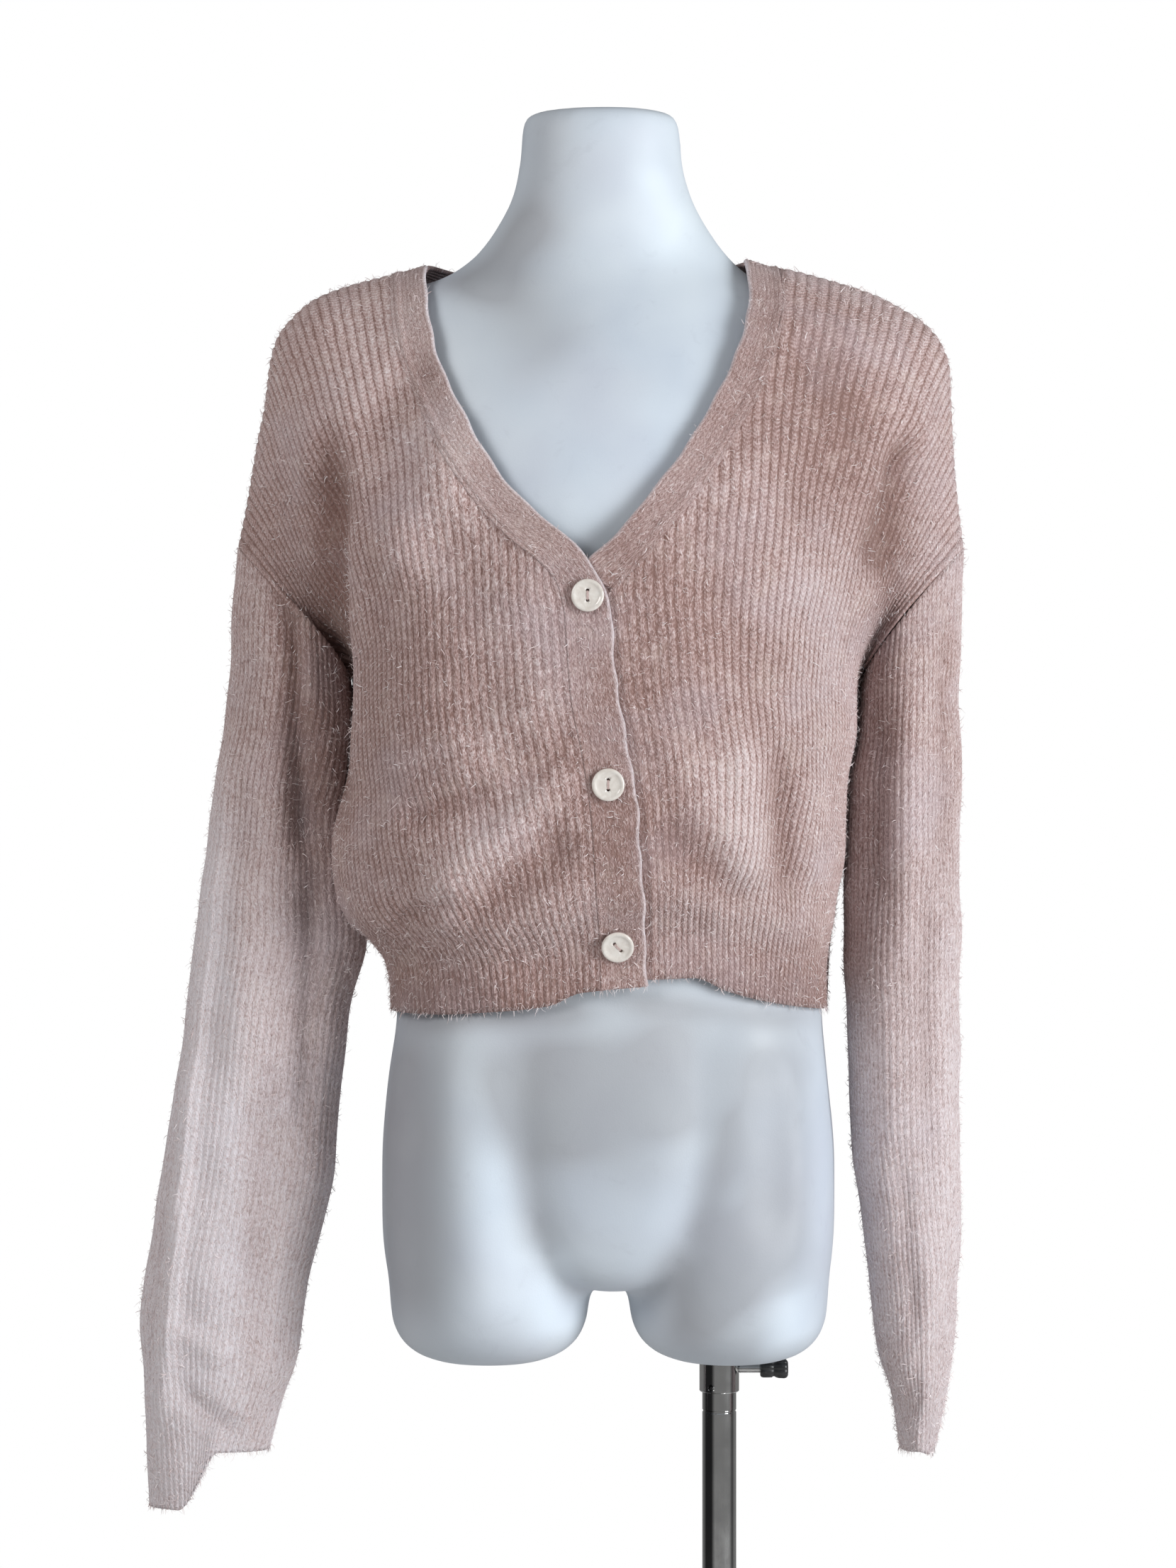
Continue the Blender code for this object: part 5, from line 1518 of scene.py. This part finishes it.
# Two painted dark reflections run up the pole at places across it, in millimetres, and stop at the base
# plate.
x = place.axis(0) * 1000
painted_reflection = (1.9 - (x - 72.3).math("ABSOLUTE") * 0.45).clamped()
painted_reflection = painted_reflection + (1.2 - (x - 88.8).math("ABSOLUTE") * 0.7).clamped() * 0.7
off_the_base = place.axis(2).above(0.010, 500.0)
at.mix(painted_reflection.clamped() * off_the_base * 0.95, colour, (0.02, 0.02, 0.022)).feeds(shader, "Base Color")
(haze * 0.12 + brush * 0.05 + 0.03).feeds(shader, "Roughness")

KNOB_PLASTIC, shader, at = new_material("black_knob_plastic", 0.32)
worn = at.noise(at.place(), 300.0, 3.0, 0.6)
at.mix(worn.above(0.5, 3.0), (0.012, 0.012, 0.013), (0.045, 0.045, 0.047)).feeds(shader, "Base Color")
(worn * 0.25 + 0.22).feeds(shader, "Roughness")

bm = spun(
    [
        (0.0, BASE_THICKNESS), (0.0140, BASE_THICKNESS), (BASE_RADIUS - 0.0024, BASE_THICKNESS),
        (BASE_RADIUS - 0.0010, 0.0076), (BASE_RADIUS - 0.0002, 0.0068), (BASE_RADIUS, 0.0058),
        (BASE_RADIUS, 0.0), (0.0, 0.0),
    ],
    128,
)
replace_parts(finished("base_plate_chromed", bm, CHROME, "stand"), "base_plate")

foot = BASE_THICKNESS + SEAM_GAP
bm = spun(
    [
        (0.0, POLE_TOP_Z), (POLE_RADIUS - 0.0010, POLE_TOP_Z), (POLE_RADIUS, POLE_TOP_Z - 0.0010),
        (POLE_RADIUS, 0.484), (POLE_RADIUS - 0.0005, 0.4835), (POLE_RADIUS - 0.0005, 0.4825),
        (POLE_RADIUS, 0.482), (POLE_RADIUS, foot), (0.0, foot),
    ],
    64,
)
bmesh.ops.translate(bm, vec=(POLE_X, POLE_Y, 0), verts=bm.verts)
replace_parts(finished("pole_tube", bm, CHROME, "stand"), "pole")

collar_top = FORM_BOTTOM_Z - SEAM_GAP
chamfer = 0.0006
profile = [
    (COLLAR_BORE_RADIUS, 0.0), (COLLAR_RADIUS - chamfer, 0.0), (COLLAR_RADIUS, -chamfer),
    (COLLAR_RADIUS, -COLLAR_LENGTH + chamfer), (COLLAR_RADIUS - chamfer, -COLLAR_LENGTH),
    (COLLAR_BORE_RADIUS, -COLLAR_LENGTH),
]
bm = spun(profile, 64, ring=True)
bmesh.ops.translate(bm, vec=(POLE_X, POLE_Y, collar_top), verts=bm.verts)
collar = finished("clamp_collar_ring", bm, CHROME, "clamp_collar")
sideways = Matrix.Rotation(math.pi / 2, 4, "Y")
bore = bmesh.new()
hole = Matrix.Translation((POLE_X + 0.0138, POLE_Y, SCREW_Z)) @ sideways
rod(bore, SCREW_HOLE_RADIUS, 0.006, 24, hole)
cut(collar, bore)
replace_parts(collar, "collar")

SET_SCREW = ((0.0, 0.0016), (0.0014, 0.0016), (0.0014, 0.0008), (0.0023, 0.0014), (0.0026, 0.0), (0.0, 0.0))
bm = spun(SET_SCREW, 20)
place = Matrix.Translation((POLE_X - 0.006, POLE_Y - 0.0126, 0.5005))
place = place @ Matrix.Rotation(math.pi / 2, 4, "X")
bmesh.ops.transform(bm, matrix=place, verts=bm.verts)
finished("collar_set_screw", bm, CHROME, "clamp_collar")

along_screw = Matrix.Translation((KNOB_START_X, POLE_Y, SCREW_Z)) @ sideways
shank = KNOB_START_X - (POLE_X + POLE_RADIUS + SEAM_GAP)
inset = 0.002
threads = [(0.0, 2 * inset)]
for step in range(2 * THREAD_TURNS + 1):
    radius = SCREW_RADIUS - THREAD_DEPTH * (step % 2)
    threads.append((radius, inset - step * (shank + inset) / (2 * THREAD_TURNS)))
bm = spun(threads + [(0.0, -shank)], 24)
bmesh.ops.transform(bm, matrix=along_screw, verts=bm.verts)
screw = finished("clamp_screw_shank", bm, CHROME, "clamp_knob")

KNOB_PROFILE = (
    (0.0, 1.0), (0.0048, 1.0), (0.0058, 0.975), (0.0066, 0.93), (0.0070, 0.86), (0.0068, 0.66),
    (0.0063, 0.57), (0.0055, 0.50), (0.0056, 0.46), (0.0063, 0.41), (0.0064, 0.25), (0.0064, 0.10),
    (0.0060, 0.03), (0.0052, 0.0), (0.0, 0.0),
)
KNOB_FLUTES = 8
FLUTE_DEPTH = 0.11
FLUTES_START = 0.0035
bm = spun([(radius, share * KNOB_LENGTH) for radius, share in KNOB_PROFILE], 64)
for vert in bm.verts:
    angle = math.atan2(vert.co.y, vert.co.x)
    groove = (0.5 + 0.5 * math.cos(KNOB_FLUTES * angle)) ** 3
    flute = 1 - FLUTE_DEPTH * groove * (vert.co.xy.length > FLUTES_START)
    vert.co.x *= flute
    vert.co.y *= flute
bmesh.ops.transform(bm, matrix=along_screw, verts=bm.verts)
knob = finished("clamp_knob_grip", bm, KNOB_PLASTIC, "clamp_knob")
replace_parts(knob, "clamp_screw")

# THE STUDIO
# A pale round floor, an even white surround, a large soft light from the picture's right at chest height,
# and a weaker one from its upper left. The camera is level and square to the front.

pale_paint, shader, at = new_material("pale_floor", 0.7)
speckle = at.noise(at.place(), 3.0, 2.0)
at.mix(speckle, (0.88, 0.88, 0.88), (0.92, 0.92, 0.92)).feeds(shader, "Base Color")
bm = bmesh.new()
bmesh.ops.create_circle(bm, cap_ends=True, radius=1.6, segments=96)
mesh = to_mesh("floor", bm)
mesh.materials.append(pale_paint)
floor = linked("floor", mesh)
floor.location = (0, 0, -0.0005)

# The surround lights the object less than it shows to the camera, which keeps the shading on white.
world = bpy.data.worlds.new("white_surround")
world.use_nodes = True
bpy.context.scene.world = world
nodes, links = world.node_tree.nodes, world.node_tree.links
seen = nodes.new("ShaderNodeLightPath")
strength = nodes.new("ShaderNodeMapRange")
strength.inputs["To Min"].default_value = 0.20
strength.inputs["To Max"].default_value = 1.0
links.new(seen.outputs["Is Camera Ray"], strength.inputs["Value"])
surround = nodes["Background"]
surround.inputs["Color"].default_value = (1, 1, 1, 1)
links.new(strength.outputs["Result"], surround.inputs["Strength"])


def soft_light(name, place, aim, width, height, power, colour):
    """A large area light at a place, turned towards another."""
    lamp = bpy.data.lights.new(name, "AREA")
    lamp.shape = "RECTANGLE"
    lamp.size = width
    lamp.size_y = height
    lamp.energy = power
    lamp.color = colour
    obj = linked(name, lamp)
    obj.location = place
    obj.rotation_euler = (Vector(aim) - Vector(place)).to_track_quat("-Z", "Y").to_euler()


soft_light("key", (1.9, -1.3, 1.15), (0, 0, 0.90), 0.9, 1.4, 50, (0.95, 0.98, 1.0))
soft_light("fill", (-1.5, -1.5, 2.0), (0, 0, 1.10), 0.8, 1.1, 21, (1.0, 0.985, 0.975))

lens = bpy.data.cameras.new("view_from_the_front")
lens.lens = 84.64
lens.sensor_width = 36
lens.sensor_fit = "AUTO"
camera = linked("view_from_the_front", lens)
camera.location = (-0.01275, -2.6, 0.9255)
camera.rotation_euler = (math.pi / 2, 0, 0)
bpy.context.scene.camera = camera
bpy.context.scene.view_settings.view_transform = "Standard"
